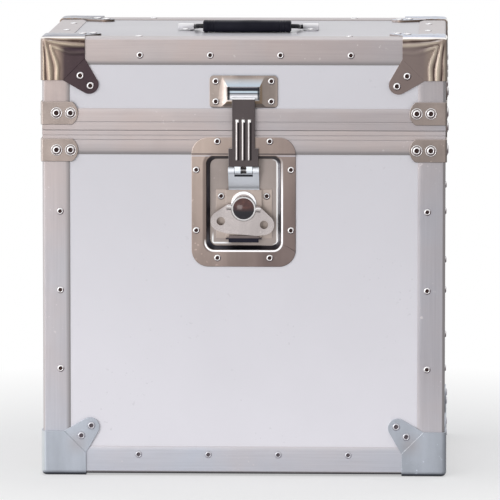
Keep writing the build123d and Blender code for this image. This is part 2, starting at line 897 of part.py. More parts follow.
def handle_brackets():
    """Two pressed saddles on the lid; the ends of the bail turn inside their humps."""
    plane = handle_plane()
    y, z = plane.position.Y, top - leg_thick
    x = (bracket_inner, bracket_inner + bracket_width)
    saddle = block(x, (y - bracket_length / 2, y + bracket_length / 2), (z, z + bracket_sheet))
    saddle = fillet(saddle.edges().filter_by(Axis.Z), bracket_round)
    saddle += rod(bracket_hump_radius, *x, y, z + handle_pivot_height)
    saddle += block(x, (y - bracket_hump_radius, y + bracket_hump_radius), (z, z + handle_pivot_height))
    saddle &= block(x, (y - bracket_length, y + bracket_length), (z, top + case_height))
    bore_end = bracket_inner + bracket_width - bracket_sheet + stack_gap
    saddle -= rod(bail_radius + running_gap, bracket_inner, bore_end, y, z + handle_pivot_height)
    return Compound(children=[saddle, swap_x(saddle)])


# Rear hinges


def hinge_leaf(side):
    """One leaf with its share of the knuckles: side is -1 on the base and 1 on the lid."""
    centre = hinge_spread
    x0 = centre - hinge_width / 2
    pitch = hinge_width / hinge_knuckles
    y0 = case_depth / 2
    foot = parting + parting_gap if side > 0 else parting
    leaf_z = sorted((foot, foot + side * hinge_leaf_height))
    leaf = block((x0, x0 + hinge_width), (y0, y0 + hinge_sheet), leaf_z)
    far = leaf.edges().filter_by(Axis.Y).sort_by(Axis.Z)
    leaf = fillet(far[:2] if side < 0 else far[-2:], hinge_leaf_round)
    axis = (hinge_axis_y, hinge_axis_z)
    for index in range(hinge_knuckles):
        own = (index % 2 == 0) == (side < 0)
        start = x0 + index * pitch
        if own:
            knuckle_x = (start + hinge_knuckle_gap / 2, start + pitch - hinge_knuckle_gap / 2)
            leaf += rod(hinge_knuckle_radius, *knuckle_x, *axis)
        else:
            leaf -= rod(hinge_knuckle_radius + hinge_knuckle_gap, start, start + pitch, *axis)
    bore = hinge_pin_radius + (running_gap if side > 0 else 0)
    leaf -= rod(bore, x0, x0 + hinge_width, *axis)
    return Compound(children=[leaf, swap_x(leaf)])


def hinge_pins():
    x0 = hinge_spread - hinge_width / 2
    pin = rod(hinge_pin_radius, x0, x0 + hinge_width, hinge_axis_y, hinge_axis_z)
    return Compound(children=[pin, swap_x(pin)])


def hinge_rivets(side):
    """Three heads in each leaf; side is -1 on the base and 1 on the lid."""
    back = Plane(origin=(0, case_depth / 2 + hinge_sheet, 0), x_dir=(-1, 0, 0), z_dir=(0, 1, 0))
    height = parting + side * hinge_leaf_height * 2 / 3
    heads = []
    for centre in (-hinge_spread, hinge_spread):
        for offset in (-hinge_width / 3, 0, hinge_width / 3):
            heads.append(back * Pos(centre + offset, height) * rivet())
    return heads


# Foam


def foam_block():
    """Base insert with the lens well, two finger scoops and a pocket behind the dish."""
    gap = section + foam_gap
    z = (floor_lift + channel + inner_thick + foam_gap, parting - foam_drop)
    foam = block((left + gap, -left - gap), (front + gap, -front - gap), z)
    well = extrude(Pos(0, 0, z[1]) * RectangleRounded(well_width, well_depth, well_round), -well_sink)
    foam -= well
    for side in (-1, 1):
        scoop = Pos(side * well_width / 2, 0, z[1] - scoop_sink / 2) * Cylinder(scoop_radius, scoop_sink)
        foam -= scoop
    half = recess_width / 2 + dish_sheet + dish_pocket_gap
    pocket_z = (recess_z - recess_height / 2 - dish_sheet - dish_pocket_gap, z[1])
    pocket_y = (front + gap, front + floor_level + dish_sheet + dish_pocket_gap)
    return foam - block((-half, half), pocket_y, pocket_z)


def foam_pad():
    """Lid insert, relieved over the well."""
    gap = section + foam_gap
    z1 = top - section - foam_gap
    pad = block((left + gap, -left - gap), (front + gap, -front - gap), (z1 - pad_thick, z1))
    relief = Pos(0, 0, z1 - pad_thick) * RectangleRounded(well_width, well_depth, well_round)
    return pad - extrude(relief, pad_relief_sink)


def sided(prefix, shapes, suffix):
    """Node names such as base_front_panel."""
    return {f"{prefix}_{side}_{suffix}": shape for side, shape in shapes.items()}


def skewed(shape):
    """The wing and its pins as they stand, turned a few degrees on the latch axis."""
    axis = Axis((0, front, latch_z), (0, 1, 0))
    return shape.rotate(axis, wing_skew)


def all_nodes():
    cap = Pos(left, front, floor_lift) * corner_cap()
    low_caps = four_corners(cap)
    middle = Plane.XY.offset(floor_lift + case_height / 2)
    high_caps = [mirror(shape, about=middle) for shape in low_caps.values()]
    posts = list(four_corners(lid_corner_post()).values())
    nodes = sided("base", base_panels(), "panel")
    nodes |= sided("base", frame_angles(False), "angle")
    nodes |= sided("base", four_corners(base_corner_angle()), "angle")
    nodes |= sided("base", rim_frame(base_rim_profile()), "rim")
    nodes |= sided("base", low_caps, "cap")
    nodes |= sided("lid", lid_panels(), "panel")
    nodes |= sided("lid", frame_angles(True), "angle")
    nodes |= sided("lid", rim_frame(lid_rim_profile()), "rim")
    nodes |= {
        "lid_corner_posts": Compound(children=posts),
        "lid_corner_caps": Compound(children=high_caps),
        "base_braces": braces(-1),
        "lid_braces": braces(1),
        "foam_block": foam_block(),
        "lid_foam_pad": foam_pad(),
        "latch_dish": latch_dish(),
        "latch_bridge": bridge() + wing_rest(),
        "latch_rivets": latch_rivets(),
        "latch_spindle": spindle(),
        "spindle_dome": spindle_dome(),
        "latch_wing": skewed(wing()),
        "latch_link": link(),
        "knuckle_pin": knuckle_pin(),
        "hook_spring": torsion_spring(),
        "hook": hook(),
        "keeper": keeper(),
        "lid_rivets": Compound(children=keeper_rivets() + hinge_rivets(1)),
        "handle_brackets": handle_brackets(),
        "handle_bail": handle_bail(),
        "handle_grip": handle_grip(),
        "hinge_base_leaves": hinge_leaf(-1),
        "hinge_lid_leaves": hinge_leaf(1),
        "hinge_pins": hinge_pins(),
        "hinge_rivets": Compound(children=hinge_rivets(-1)),
    }
    return nodes


def write_parts():
    os.makedirs("parts", exist_ok=True)
    for name, shape in all_nodes().items():
        export_step(shape, f"parts/{name}.step")


write_parts()
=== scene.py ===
import json
import math
from functools import cached_property

import bmesh
import bpy
from bpy.props import FloatProperty, FloatVectorProperty, IntProperty, PointerProperty
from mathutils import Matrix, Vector


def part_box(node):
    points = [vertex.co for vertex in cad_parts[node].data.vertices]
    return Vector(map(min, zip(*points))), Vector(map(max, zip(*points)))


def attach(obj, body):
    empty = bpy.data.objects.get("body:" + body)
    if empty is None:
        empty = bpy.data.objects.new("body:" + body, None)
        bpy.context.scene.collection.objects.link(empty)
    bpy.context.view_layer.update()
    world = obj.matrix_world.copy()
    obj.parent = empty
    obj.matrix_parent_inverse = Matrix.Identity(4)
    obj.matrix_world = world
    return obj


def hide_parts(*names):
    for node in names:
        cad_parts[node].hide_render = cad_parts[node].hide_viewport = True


# Dresses a riveted lens case: finishes of its sheet metal, laminate and plastic, the pulled rivets,
# the foam inserts, the handle grip and the latch spring, and a plain stage. Metres, +Z up.

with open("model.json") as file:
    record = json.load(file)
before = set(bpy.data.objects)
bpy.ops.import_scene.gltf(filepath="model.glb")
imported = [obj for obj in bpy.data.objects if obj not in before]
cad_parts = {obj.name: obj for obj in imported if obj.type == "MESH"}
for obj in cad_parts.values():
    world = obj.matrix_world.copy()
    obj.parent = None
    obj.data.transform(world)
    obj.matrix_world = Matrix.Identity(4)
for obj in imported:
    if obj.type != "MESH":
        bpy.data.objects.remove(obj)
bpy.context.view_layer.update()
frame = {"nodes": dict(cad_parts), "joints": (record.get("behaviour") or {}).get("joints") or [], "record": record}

bl_info = {
    "name": "Lens case dressing",
    "version": (1, 0, 0),
    "blender": (4, 5, 0),
    "location": "3D View > Sidebar > Lens case",
    "description": "Finishes, rivets, foam, grip, spring and stage of a riveted lens case",
    "category": "Object",
}

mm = 0.001
weld = 0.002 * mm  # distance at which the loose corners of CAD triangles are merged


# Places read from the frame


def joint_place(name):
    """Where a joint of the frame stands; an unknown name stops the script."""
    return next(Vector(entry["pos_m"]) for entry in frame["joints"] if entry["name"] == name)


def middle_z(node):
    low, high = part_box(node)
    return (low.z + high.z) / 2


left_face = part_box("base_left_angle")[0].x
_, front_face, floor_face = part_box("base_front_angle")[0]
top_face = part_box("lid_front_angle")[1].z
latch_axis, knuckle_axis = joint_place("spindle_turn"), joint_place("hook_swing")
base_brace_z, lid_brace_z = middle_z("base_braces"), middle_z("lid_braces")
brace_proud = front_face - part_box("base_braces")[0].y
dish_z = middle_z("latch_dish")
hook_face, hook_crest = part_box("hook")[0].y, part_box("hook")[1].z
_, keeper_face, keeper_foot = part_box("keeper")[0]
lid_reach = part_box("lid_corner_caps")[1]
lid_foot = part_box("lid_front_rim")[0].z


# Sizes and colours that a user would change


def colour_value(name, description, *rgb):
    return FloatVectorProperty(name=name, description=description, subtype="COLOR", size=4,
                               default=(*rgb, 1), min=0, max=1)


def length_value(name, description, millimetres, least=0.0):
    return FloatProperty(name=name, description=description, subtype="DISTANCE", unit="LENGTH",
                         default=millimetres * mm, min=least * mm)


class CaseColours(bpy.types.PropertyGroup):
    """Colours of the finishes, as linear values."""

    laminate: colour_value("Laminate", "Sheet on the plywood panels", 0.685, 0.668, 0.708)
    aluminium: colour_value(
        "Aluminium", "Satin anodised angles, posts and rims", 0.440, 0.408, 0.412)
    warm_plate: colour_value(
        "Warm plating", "Aged nickel of the upper corner caps", 0.262, 0.205, 0.162)
    pale_plate: colour_value(
        "Pale plating", "Bright zinc of the lower corner caps", 0.378, 0.402, 0.450)
    brace_plate: colour_value("Brace plating", "Dull nickel of the rim braces", 0.265, 0.220, 0.200)
    # Painted sky reflection: the tone laid on plating where it faces up
    upper_tone: colour_value("Upper tone", "Plating where it faces up", 0.500, 0.535, 0.600)
    dish_plate: colour_value(
        "Dish plating", "Satin nickel of the latch dish and keeper", 0.335, 0.280, 0.252)
    saddle_plate: colour_value(
        "Handle saddles", "Pale plated saddles of the handle", 0.400, 0.395, 0.415)
    hook_steel: colour_value("Hook steel", "Grey steel of the hook", 0.072, 0.060, 0.061)


class CaseCaps(bpy.types.PropertyGroup):
    """Folds that the drawing leaves on the lid's corner caps, fanned out from each apex."""

    fold_depth: length_value("Fold depth", "Depth of the valleys between two folds", 0.6)
    fold_pitch: length_value("Fold pitch", "Distance between two folds", 7.4, 3)
    cell: length_value("Mesh size", "Grid that the folds are meshed with", 1.4, 0.8)


class CaseRivets(bpy.types.PropertyGroup):
    """Pulled rivets: a low flange with the hollow that the mandrel leaves."""

    radius: length_value("Head radius", "Radius of a head on the angles", 3.5, 1)
    height: length_value("Head height", "Rise of the crown over the sheet", 1.2, 0.3)
    pitch: length_value("Pitch along X", "Distance between heads on the long angles", 70, 20)
    upright_pitch: length_value(
        "Pitch upright", "Distance between heads on the upright angles", 79, 20)
    inset: length_value("Inset", "From the edge of the case to the row of heads", 17.8, 5)
    segments: IntProperty(
        name="Segments", description="Facets round one head", default=18, min=8, max=64)


class CaseFoam(bpy.types.PropertyGroup):
    """Cut foam inserts."""

    cell: length_value("Mesh size", "Voxel that the foam is meshed with", 4.0, 2)
    shrink: length_value("Shrink", "How far the cut faces stay inside the solid", 0.9)
    unevenness: length_value("Unevenness", "Waviness that the saw leaves", 0.7)


class CaseStage(bpy.types.PropertyGroup):
    """Floor, studio light and camera."""

    focal_pixels: FloatProperty(
        name="Focal length", description="In pixels of a frame 500 wide", default=5613.8)
    distance: length_value("Camera distance", "From the aim point", 5601.5)
    azimuth: FloatProperty(
        name="Azimuth", description="Camera's turn round the case, degrees", default=2.037)
    elevation: FloatProperty(
        name="Elevation", description="Camera's height over the horizon, degrees", default=5.971)
    aim: FloatVectorProperty(
        name="Aim point", description="Point on the front face in the middle of the frame",
        subtype="XYZ", unit="LENGTH", size=3, default=(0.006374, -0.160, 0.22748))
    key_power: FloatProperty(
        name="Key light", description="Power of the large front softbox", unit="POWER",
        default=29.6)
    top_power: FloatProperty(
        name="Top light", description="Power of the overhead softbox", unit="POWER", default=4)
    world_strength: FloatProperty(
        name="Room light", description="Strength of the even room light", default=0.62, min=0)


# Mesh and object helpers


def linked(name, data):
    """Object at the origin, in the scene."""
    piece = bpy.data.objects.new(name, data)
    bpy.context.scene.collection.objects.link(piece)
    return piece


def seated(piece, body, slot, *nodes):
    """Lets a finished piece ride on a body and stand for CAD nodes, which it hides; the slot is not used."""
    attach(piece, body)
    if nodes:
        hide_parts(*nodes)
    return piece


def dress_node(node, material):
    """Gives a CAD node, whose shape stays, its material."""
    mesh = frame["nodes"][node].data
    mesh.materials.clear()
    mesh.materials.append(material)


def bmesh_to(name, bm, material=None):
    mesh = bpy.data.meshes.new(name)
    bm.to_mesh(mesh)
    bm.free()
    if material:
        mesh.materials.append(material)
    return mesh


def bmesh_of(mesh):
    bm = bmesh.new()
    bm.from_mesh(mesh)
    return bm


def smooth_by_angle(bm, degrees=34.0):
    """Smooth faces, with edges sharper than the angle kept crisp."""
    limit = math.radians(degrees)
    for face in bm.faces:
        face.smooth = True
    for edge in bm.edges:
        edge.smooth = edge.calc_face_angle(0.0) < limit


def merged_copy(node):
    """Closed mesh of a CAD node: its loose triangles merged and its flat faces made whole."""
    bm = bmesh_of(frame["nodes"][node].data)
    bmesh.ops.remove_doubles(bm, verts=bm.verts, dist=weld)
    bmesh.ops.dissolve_limit(
        bm, angle_limit=math.radians(0.6), verts=bm.verts, edges=bm.edges, delimit={"NORMAL"})
    return bm


def lofted(rings):
    """Closed shell through rings of points."""
    bm = bmesh.new()
    rings = [[bm.verts.new(point) for point in ring] for ring in rings]
    for ring, following in zip(rings, rings[1:]):
        for index in range(len(ring)):
            after = (index + 1) % len(ring)
            bm.faces.new((ring[index], ring[after], following[after], following[index]))
    bm.faces.new(rings[0])
    bm.faces.new(reversed(rings[-1]))
    bmesh.ops.recalc_face_normals(bm, faces=bm.faces[:])
    return bm


def modify(piece, title, kind, **settings):
    modifier = piece.modifiers.new(title, kind)
    for key, value in settings.items():
        setattr(modifier, key, value)
    return modifier


def flatten_modifiers(piece):
    """Turns the evaluated piece into a plain mesh."""
    evaluated = piece.evaluated_get(bpy.context.evaluated_depsgraph_get())
    mesh = bpy.data.meshes.new_from_object(evaluated)
    piece.modifiers.clear()
    piece.data = mesh


def run_tree(piece, tree, **inputs):
    """Sets the named inputs of a geometry tree, by identifier, and makes its result the mesh."""
    modifier = modify(piece, tree.name, "NODES", node_group=tree)
    sockets = {item.name: item.identifier for item in tree.interface.items_tree
               if item.item_type == "SOCKET" and item.in_out == "INPUT"}
    for key, value in inputs.items():
        modifier[sockets[key.replace("_", " ")]] = value
    flatten_modifiers(piece)


def eased(node, body, slot, material, width, segments=2, reshape=None):
    """Copy of a node with its sheared edges eased by a width in mm, which stands for the node."""
    name = node + "_eased"
    bm = merged_copy(node)
    smooth_by_angle(bm)
    piece = linked(name, bmesh_to(name, bm, material))
    if width > 0:
        modify(piece, "Eased edges", "BEVEL", width=width * mm, segments=segments,
               limit_method="ANGLE", angle_limit=math.radians(32), use_clamp_overlap=True,
               miter_outer="MITER_ARC")
        flatten_modifiers(piece)
    bm = bmesh_of(piece.data)
    if reshape:
        reshape(bm)
    smooth_by_angle(bm)
    bm.to_mesh(piece.data)
    bm.free()
    modify(piece, "Even faces", "WEIGHTED_NORMAL", keep_sharp=True, weight=80)
    flatten_modifiers(piece)
    return seated(piece, body, slot, node)


# Node tree helpers


class Net:
    """A node tree with short ways to add nodes. A value is a number, a colour or a socket."""

    def __init__(self, tree):
        self.tree = tree

    def feed(self, socket, value):
        if isinstance(value, bpy.types.NodeSocket):
            self.tree.links.new(value, socket)
        else:
            plain = socket.type == "RGBA" and len(value) == 3
            socket.default_value = (*value, 1) if plain else value

    def add(self, kind, *values, options=None, **inputs):
        """New node; inputs are given in their order, or by name with _ for a space."""
        node = self.tree.nodes.new(kind)
        for key, value in (options or {}).items():
            setattr(node, key, value)
        for index, value in enumerate(values):
            self.feed(node.inputs[index], value)
        for key, value in inputs.items():
            self.feed(node.inputs[key.replace("_", " ")], value)
        return node

    def math(self, operation, first, second=0.0, clamp=False):
        options = {"operation": operation, "use_clamp": clamp}
        return self.add("ShaderNodeMath", first, second, options=options).outputs[0]

    def plus(self, first, second):
        return self.math("ADD", first, second)

    def minus(self, first, second):
        return self.math("SUBTRACT", first, second)

    def most(self, first, second):
        return self.math("MAXIMUM", first, second)

    def size(self, value):
        return self.math("ABSOLUTE", value)

    def times(self, first, *factors):
        for factor in factors:
            first = self.math("MULTIPLY", first, factor)
        return first

    def mix(self, factor, first, second, blend="MIX"):
        node = self.add("ShaderNodeMix", options={"data_type": "RGBA", "blend_type": blend})
        for index, value in ((0, factor), (6, first), (7, second)):
            self.feed(node.inputs[index], value)
        return node.outputs[2]

    def tint(self, tone, colour):
        return self.mix(1.0, tone, colour, "MULTIPLY")

    def paint(self, tone, colour, *masks):
        """Lays a colour over a tone, as far as the product of the masks says."""
        return self.mix(self.times(*masks), tone, colour)

    def span(self, value, low, high, out_low=0.0, out_high=1.0):
        """Maps a range of values to another, clamped."""
        return self.add("ShaderNodeMapRange", value, low, high, out_low, out_high,
                        options={"clamp": True}).outputs[0]

    def within(self, value, start, stop, soft=0.4):
        """1 between two limits and 0 outside them, with soft ends."""
        return self.times(self.span(value, start - soft, start + soft),
                          self.span(value, stop + soft, stop - soft))

    def outside_of(self, across, up, half_width, half_height, round_by):
        """Distance outside the outline of a rounded rectangle, and below 0 inside it."""
        over = [self.most(self.minus(self.size(value), half - round_by), 0.0)
                for value, half in ((across, half_width), (up, half_height))]
        squares = [self.math("POWER", value, 2.0) for value in over]
        return self.minus(self.math("SQRT", self.plus(*squares)), round_by)

    def noise(self, vector, scale, detail=2.0, roughness=0.5, distortion=0.0):
        return self.add("ShaderNodeTexNoise", Vector=vector, Scale=scale, Detail=detail,
                        Roughness=roughness, Distortion=distortion).outputs[0]

    def group(self, tree, **inputs):
        return self.add("ShaderNodeGroup", options={"node_tree": tree}, **inputs).outputs


class Group(Net):
    """A new group with named sockets; each input is name: (socket type, default)."""

    def __init__(self, name, kind, inputs, outputs):
        super().__init__(bpy.data.node_groups.new(name, kind))
        sockets = self.tree.interface
        for title, (socket_kind, default) in inputs.items():
            socket = sockets.new_socket(
                title, in_out="INPUT", socket_type="NodeSocket" + socket_kind)
            if default is not None:
                socket.default_value = default
        for title, socket_kind in outputs.items():
            sockets.new_socket(title, in_out="OUTPUT", socket_type="NodeSocket" + socket_kind)
        self.enter = self.tree.nodes.new("NodeGroupInput").outputs
        self.leave = self.tree.nodes.new("NodeGroupOutput").inputs


# Effects that several finishes share


def built_once(title):
    """A group is built when a file first needs it, and found again by its title after that."""
    def wrap(build):
        return lambda: bpy.data.node_groups.get(title) or build(title)
    return wrap


@built_once("Grain lines")
def grain_group(title):
    """Fine lines of rolling, drawing or brushing: noise squeezed across the grain."""
    net = Group(title, "ShaderNodeTree",
                {"Vector": ("Vector", None), "Stretch": ("Vector", (1, 1, 1)),
                 "Fineness": ("Float", 900.0), "Depth": ("Float", 0.5)},
                {"Mask": "Float", "Soft Mask": "Float"})
    squeezed = net.add("ShaderNodeVectorMath", net.enter["Vector"], net.enter["Stretch"],
                       options={"operation": "MULTIPLY"}).outputs[0]
    fine = net.noise(squeezed, net.enter["Fineness"], 3.0, 0.6)
    broad = net.noise(squeezed, net.times(net.enter["Fineness"], 0.13))
    lifted = net.times(net.minus(fine, 0.5), net.enter["Depth"])
    net.feed(net.leave["Mask"], net.math("ADD", lifted, 0.5, clamp=True))
    net.feed(net.leave["Soft Mask"], net.span(broad, 0.3, 0.7))
    return net.tree


@built_once("Handling marks")
def marks_group(title):
    """Finger smears and rubbed patches, and a few short scratches."""
    net = Group(title, "ShaderNodeTree",
                {"Vector": ("Vector", None), "Size": ("Float", 14.0), "Amount": ("Float", 0.5)},
                {"Smear": "Float", "Scratch": "Float"})
    vector, amount = net.enter["Vector"], net.enter["Amount"]
    smear = net.span(net.noise(vector, net.enter["Size"], 4.0, 0.6, 0.8), 0.46, 0.72)
    tilted = net.add("ShaderNodeMapping", Vector=vector, Rotation=(0.5, 0.9, 0.4),
                     Scale=(1.0, 0.08, 1.0)).outputs[0]
    lines = net.span(net.noise(tilted, 260.0, 1.0), 0.70, 0.76)
    patches = net.span(net.noise(vector, 22.0), 0.52, 0.62)
    net.feed(net.leave["Smear"], net.times(smear, amount))
    net.feed(net.leave["Scratch"], net.times(lines, patches, amount))
    return net.tree


@built_once("Tone bloom")
def bloom_group(title):
    """Cloudy change between two tones, as plating or anodising takes unevenly."""
    net = Group(title, "ShaderNodeTree",
                {"Vector": ("Vector", None), "Size": ("Float", 12.0),
                 "Light Tone": ("Color", (0.8, 0.8, 0.8, 1)),
                 "Deep Tone": ("Color", (0.5, 0.5, 0.5, 1))},
                {"Tone": "Color", "Mask": "Float"})
    cloud = net.noise(net.enter["Vector"], net.enter["Size"], 5.0, 0.55, 0.4)
    mask = net.span(cloud, 0.32, 0.68)
    net.feed(net.leave["Tone"], net.mix(mask, net.enter["Deep Tone"], net.enter["Light Tone"]))
    net.feed(net.leave["Mask"], mask)
    return net.tree


@built_once("Facing tone")
def facing_group(title):
    """How far a face turns up and to the left, the side that bright metal takes its light from."""
    net = Group(title, "ShaderNodeTree", {"Normal": ("Vector", None)},
                {"Lit": "Float", "Rise": "Float", "Up": "Float", "Under": "Float"})
    normal = net.enter["Normal"]
    lean = net.add("ShaderNodeVectorMath", normal, (-0.6, 0.0, 0.8),
                   options={"operation": "DOT_PRODUCT"}).outputs["Value"]
    rise = net.add("ShaderNodeSeparateXYZ", normal).outputs["Z"]
    net.feed(net.leave["Lit"], net.span(lean, -0.7, 0.7))
    net.feed(net.leave["Rise"], rise)
    net.feed(net.leave["Up"], net.span(rise, 0.70, 0.88))
    net.feed(net.leave["Under"], net.span(rise, -0.25, -0.70))
    return net.tree


class Finish(Net):
    """A material with its shader. Places on the object are taken in millimetres."""

    def __init__(self, name):
        self.material = bpy.data.materials.new(name)
        self.material.use_nodes = True
        super().__init__(self.material.node_tree)
        self.tree.nodes.clear()
        self.shader = self.add("ShaderNodeBsdfPrincipled")
        self.output = self.add("ShaderNodeOutputMaterial", Surface=self.shader.outputs[0])
        self.place = self.add("ShaderNodeTexCoord").outputs["Object"]

    @cached_property
    def spot(self):
        return self.add("ShaderNodeSeparateXYZ", self.place).outputs

    @cached_property
    def turn(self):
        """Facing tones of the surface, from its normal in the object's own frame."""
        normal = self.add("ShaderNodeTexCoord").outputs["Normal"]
        return self.group(facing_group(), Normal=normal)

    def off(self, axis, start=0.0):
        """How far the surface lies from a start along an axis, in millimetres."""
        return self.times(self.minus(self.spot[axis], start), 1 / mm)

    def grain(self, stretch, fineness, depth=1.2):
        return self.group(grain_group(), Vector=self.place, Stretch=stretch, Fineness=fineness,
                          Depth=depth)

    def marks(self, size, amount):
        return self.group(marks_group(), Vector=self.place, Size=size, Amount=amount)

    def bloom(self, size, light, deep):
        return self.group(bloom_group(), Vector=self.place, Size=size, Light_Tone=light,
                          Deep_Tone=deep)

    def bump(self, height, strength, distance):
        node = self.add("ShaderNodeBump", Height=height, Strength=strength, Distance=distance)
        self.feed(self.shader.inputs["Normal"], node.outputs[0])

    def done(self, tone, mask, rough, **plain):
        """Feeds the colour, and the roughness along a mask, and sets the shader's plain values."""
        self.feed(self.shader.inputs["Base Color"], tone)
        self.feed(self.shader.inputs["Roughness"], self.span(mask, 0.0, 1.0, *rough))
        for title, value in plain.items():
            self.shader.inputs[title.replace("_", " ")].default_value = value
        return self.material


def shade(colour, factor):
    """A darker or lighter tone of a colour."""
    return tuple(min(1.0, value * factor) for value in colour[:3])


# Painted highlights, shade and reflections of single pieces, with a few tones of their own, laid over their
# plating; all distances are in millimetres

rib_pitch, rib_run = 6.1, (10.4, 50.8)


def turned_tone(net, body, colour, upper, depth):
    """Painted highlight on rounds that turn up and left, painted shade on those that turn down and right, and the
    upper tone painted on faces that turn up.
    """
    lit = net.turn["Lit"]
    dark = net.paint(body, shade(colour, 0.22), net.span(lit, 0.44, 0.14, 0.0, depth))
    glow = tuple(min(1.0, 0.40 + 1.5 * value) for value in colour[:3])
    bright = net.paint(dark, glow, net.span(lit, 0.56, 0.80, 0.0, depth))
    return net.paint(bright, upper, net.turn["Up"])


def folded_tone(net, body, noise, dark, light):
    """Painted highlight on the crests and painted shade in the valleys of the folds, from the height that the mesh
    carries.
    """
    crest = net.add("ShaderNodeAttribute", options={"attribute_name": "crest"}).outputs["Fac"]
    uneven = net.plus(crest, net.span(noise, 0.0, 1.0, -0.12, 0.12))
    valley = net.paint(body, dark, net.span(uneven, 0.30, 0.05))
    return net.paint(valley, light, net.span(uneven, 0.45, 0.92))


def dish_tone(net, body):
    """Painted light and shade: flange lighter at upper left and darker at lower right as if crowned, painted
    highlight on the mouth's edge, painted shade and highlight lines at the joggle, painted shade on the recess
    floor, dark blue painted shade on the walls, painted highlights along the floor's edges.
    """
    across, depth, up = net.off("X"), net.off("Y", front_face), net.off("Z", dish_z)
    # Painted light and shade: the flat flange is tinted lighter towards the upper left and darker towards the
    # lower right, as if it were crowned
    lean = net.plus(net.times(across, -0.37 / 52), net.times(up, 0.30 / 65))
    flange = net.mix(net.math("ADD", lean, 0.42, clamp=True),
                     net.tint(body, (0.50, 0.46, 0.48)), net.tint(body, (1.16, 1.12, 1.09)))
    # Painted shade on the flange just outside the left of the mouth
    outside = net.outside_of(across, net.plus(up, 1.0), 37.5, 47.1, 8.0)
    flange = net.paint(flange, (0.095, 0.070, 0.062), net.within(outside, 0.0, 3.2, 0.8),
                       net.span(across, -30.0, -38.0), 0.7)
    # Painted highlight along the mouth's edge at the lower right and the bottom
    lit_side = net.most(net.span(lean, -0.05, -0.22), net.span(up, -37.0, -43.0))
    flange = net.paint(flange, (0.96, 0.95, 0.97), net.within(outside, 0.1, 1.7, 0.3), lit_side)
    # Painted shade line and painted highlight line at the joggle near the top of the mouth
    flange = net.paint(flange, (0.040, 0.036, 0.042), net.within(up, 47.6, 48.8, 0.3), 0.8)
    flange = net.paint(flange, (0.66, 0.64, 0.70), net.within(up, 45.6, 46.9, 0.3),
                       net.span(outside, 0.5, 1.5), 0.6)
    # Painted shade on the recess floor
    floor = net.tint(body, (0.82, 0.84, 0.87))
    toned = net.mix(net.span(depth, 1.6, 1.0), floor, flange)
    # Dark blue painted shade on the recess walls
    wall = net.within(depth, 1.9, 11.6, 0.5)
    toned = net.paint(toned, (0.012, 0.015, 0.045), wall, 0.95)
    # Painted highlights along the floor's edge at the right and at the lower left
    right_rim = net.times(net.within(outside, -5.3, -3.9, 0.3), net.span(across, 28.0, 33.0))
    left_rim = net.times(net.within(outside, -6.9, -5.4, 0.3), net.span(across, -12.0, -20.0),
                         net.span(net.minus(up, across), 0.0, -5.0))
    return net.paint(toned, (0.90, 0.91, 0.92), net.most(right_rim, left_rim),
                     net.span(depth, 11.0, 11.8), 0.85)


def bridge_tone(net, body):
    """Painted highlight on the upper edge of the bearing boss round the spindle, and painted shade on the lip
    under the wing.
    """
    across, depth, up = net.off("X"), net.off("Y", front_face), net.off("Z", latch_axis.z)
    proud = net.span(depth, 5.2, 4.4)
    outside = net.outside_of(across, net.minus(up, 4.3), 12.4, 12.4, 12.4)
    # Painted highlight on the boss's edge, on its upper half only
    boss = net.mix(net.span(outside, -2.9, -2.1), (0.40, 0.35, 0.34), (0.95, 0.95, 0.98))
    bright = net.paint(body, boss, proud, net.span(up, -2.0, 0.0))
    # Painted shade on the lip under the wing, darkest at its lower part
    lip = net.mix(net.span(up, -29.2, -30.2), (0.150, 0.122, 0.118), (0.016, 0.015, 0.024))
    return net.paint(bright, lip, proud, net.span(up, -22.0, -24.0))


def hook_tone(net, body):
    """Painted highlight on the left of each rib and painted shadow on its right, and painted highlights on the rib
    ends, the crest and the knuckles.
    """
    across, height = net.off("X"), net.off("Z", knuckle_axis.z)
    steps = net.plus(net.math("DIVIDE", across, rib_pitch), 0.5)
    beside = net.times(net.minus(net.math("FRACT", steps), 0.5), rib_pitch)
    ribs = net.times(net.span(net.off("Y", hook_face), 1.4, 1.1),
                     net.span(net.size(across), 9.3, 8.9), net.within(height, *rib_run))
    # Painted shadow to the right of each rib and painted highlight line on its left
    toned = net.paint(body, (0.014, 0.011, 0.013), ribs, net.within(beside, 0.5, 2.1, 0.25), 0.85)
    toned = net.paint(toned, (0.86, 0.81, 0.79), ribs, net.within(beside, -1.55, -0.35, 0.2))
    # Painted highlight on the top end of each rib
    toned = net.paint(toned, (0.95, 0.93, 0.92), ribs, net.within(beside, -1.6, 1.5, 0.2),
                      net.span(height, rib_run[1] - 2.8, rib_run[1] - 2.2))
    # Painted highlight on the crest's bend and on the knuckles
    toned = net.paint(toned, (0.94, 0.94, 0.97), net.span(net.off("Z", hook_crest), -1.8, -1.2))
    return net.paint(toned, (0.84, 0.89, 0.95), net.span(height, 4.2, 3.6), 0.92)


def link_tone(net, body):
    """Painted highlight on the knuckles and painted shade in the slot between them and the plate."""
    height = net.off("Z", knuckle_axis.z)
    # Painted highlight on the knuckles
    toned = net.paint(body, (0.88, 0.90, 0.94), net.span(height, -1.6, -0.8), 0.85)
    # Painted shade in a band on the plate where the slot under the knuckles lies
    return net.paint(toned, (0.004, 0.004, 0.010), net.span(net.size(net.off("X")), 9.4, 9.0),
                     net.within(height, -6.6, -4.3, 0.3))


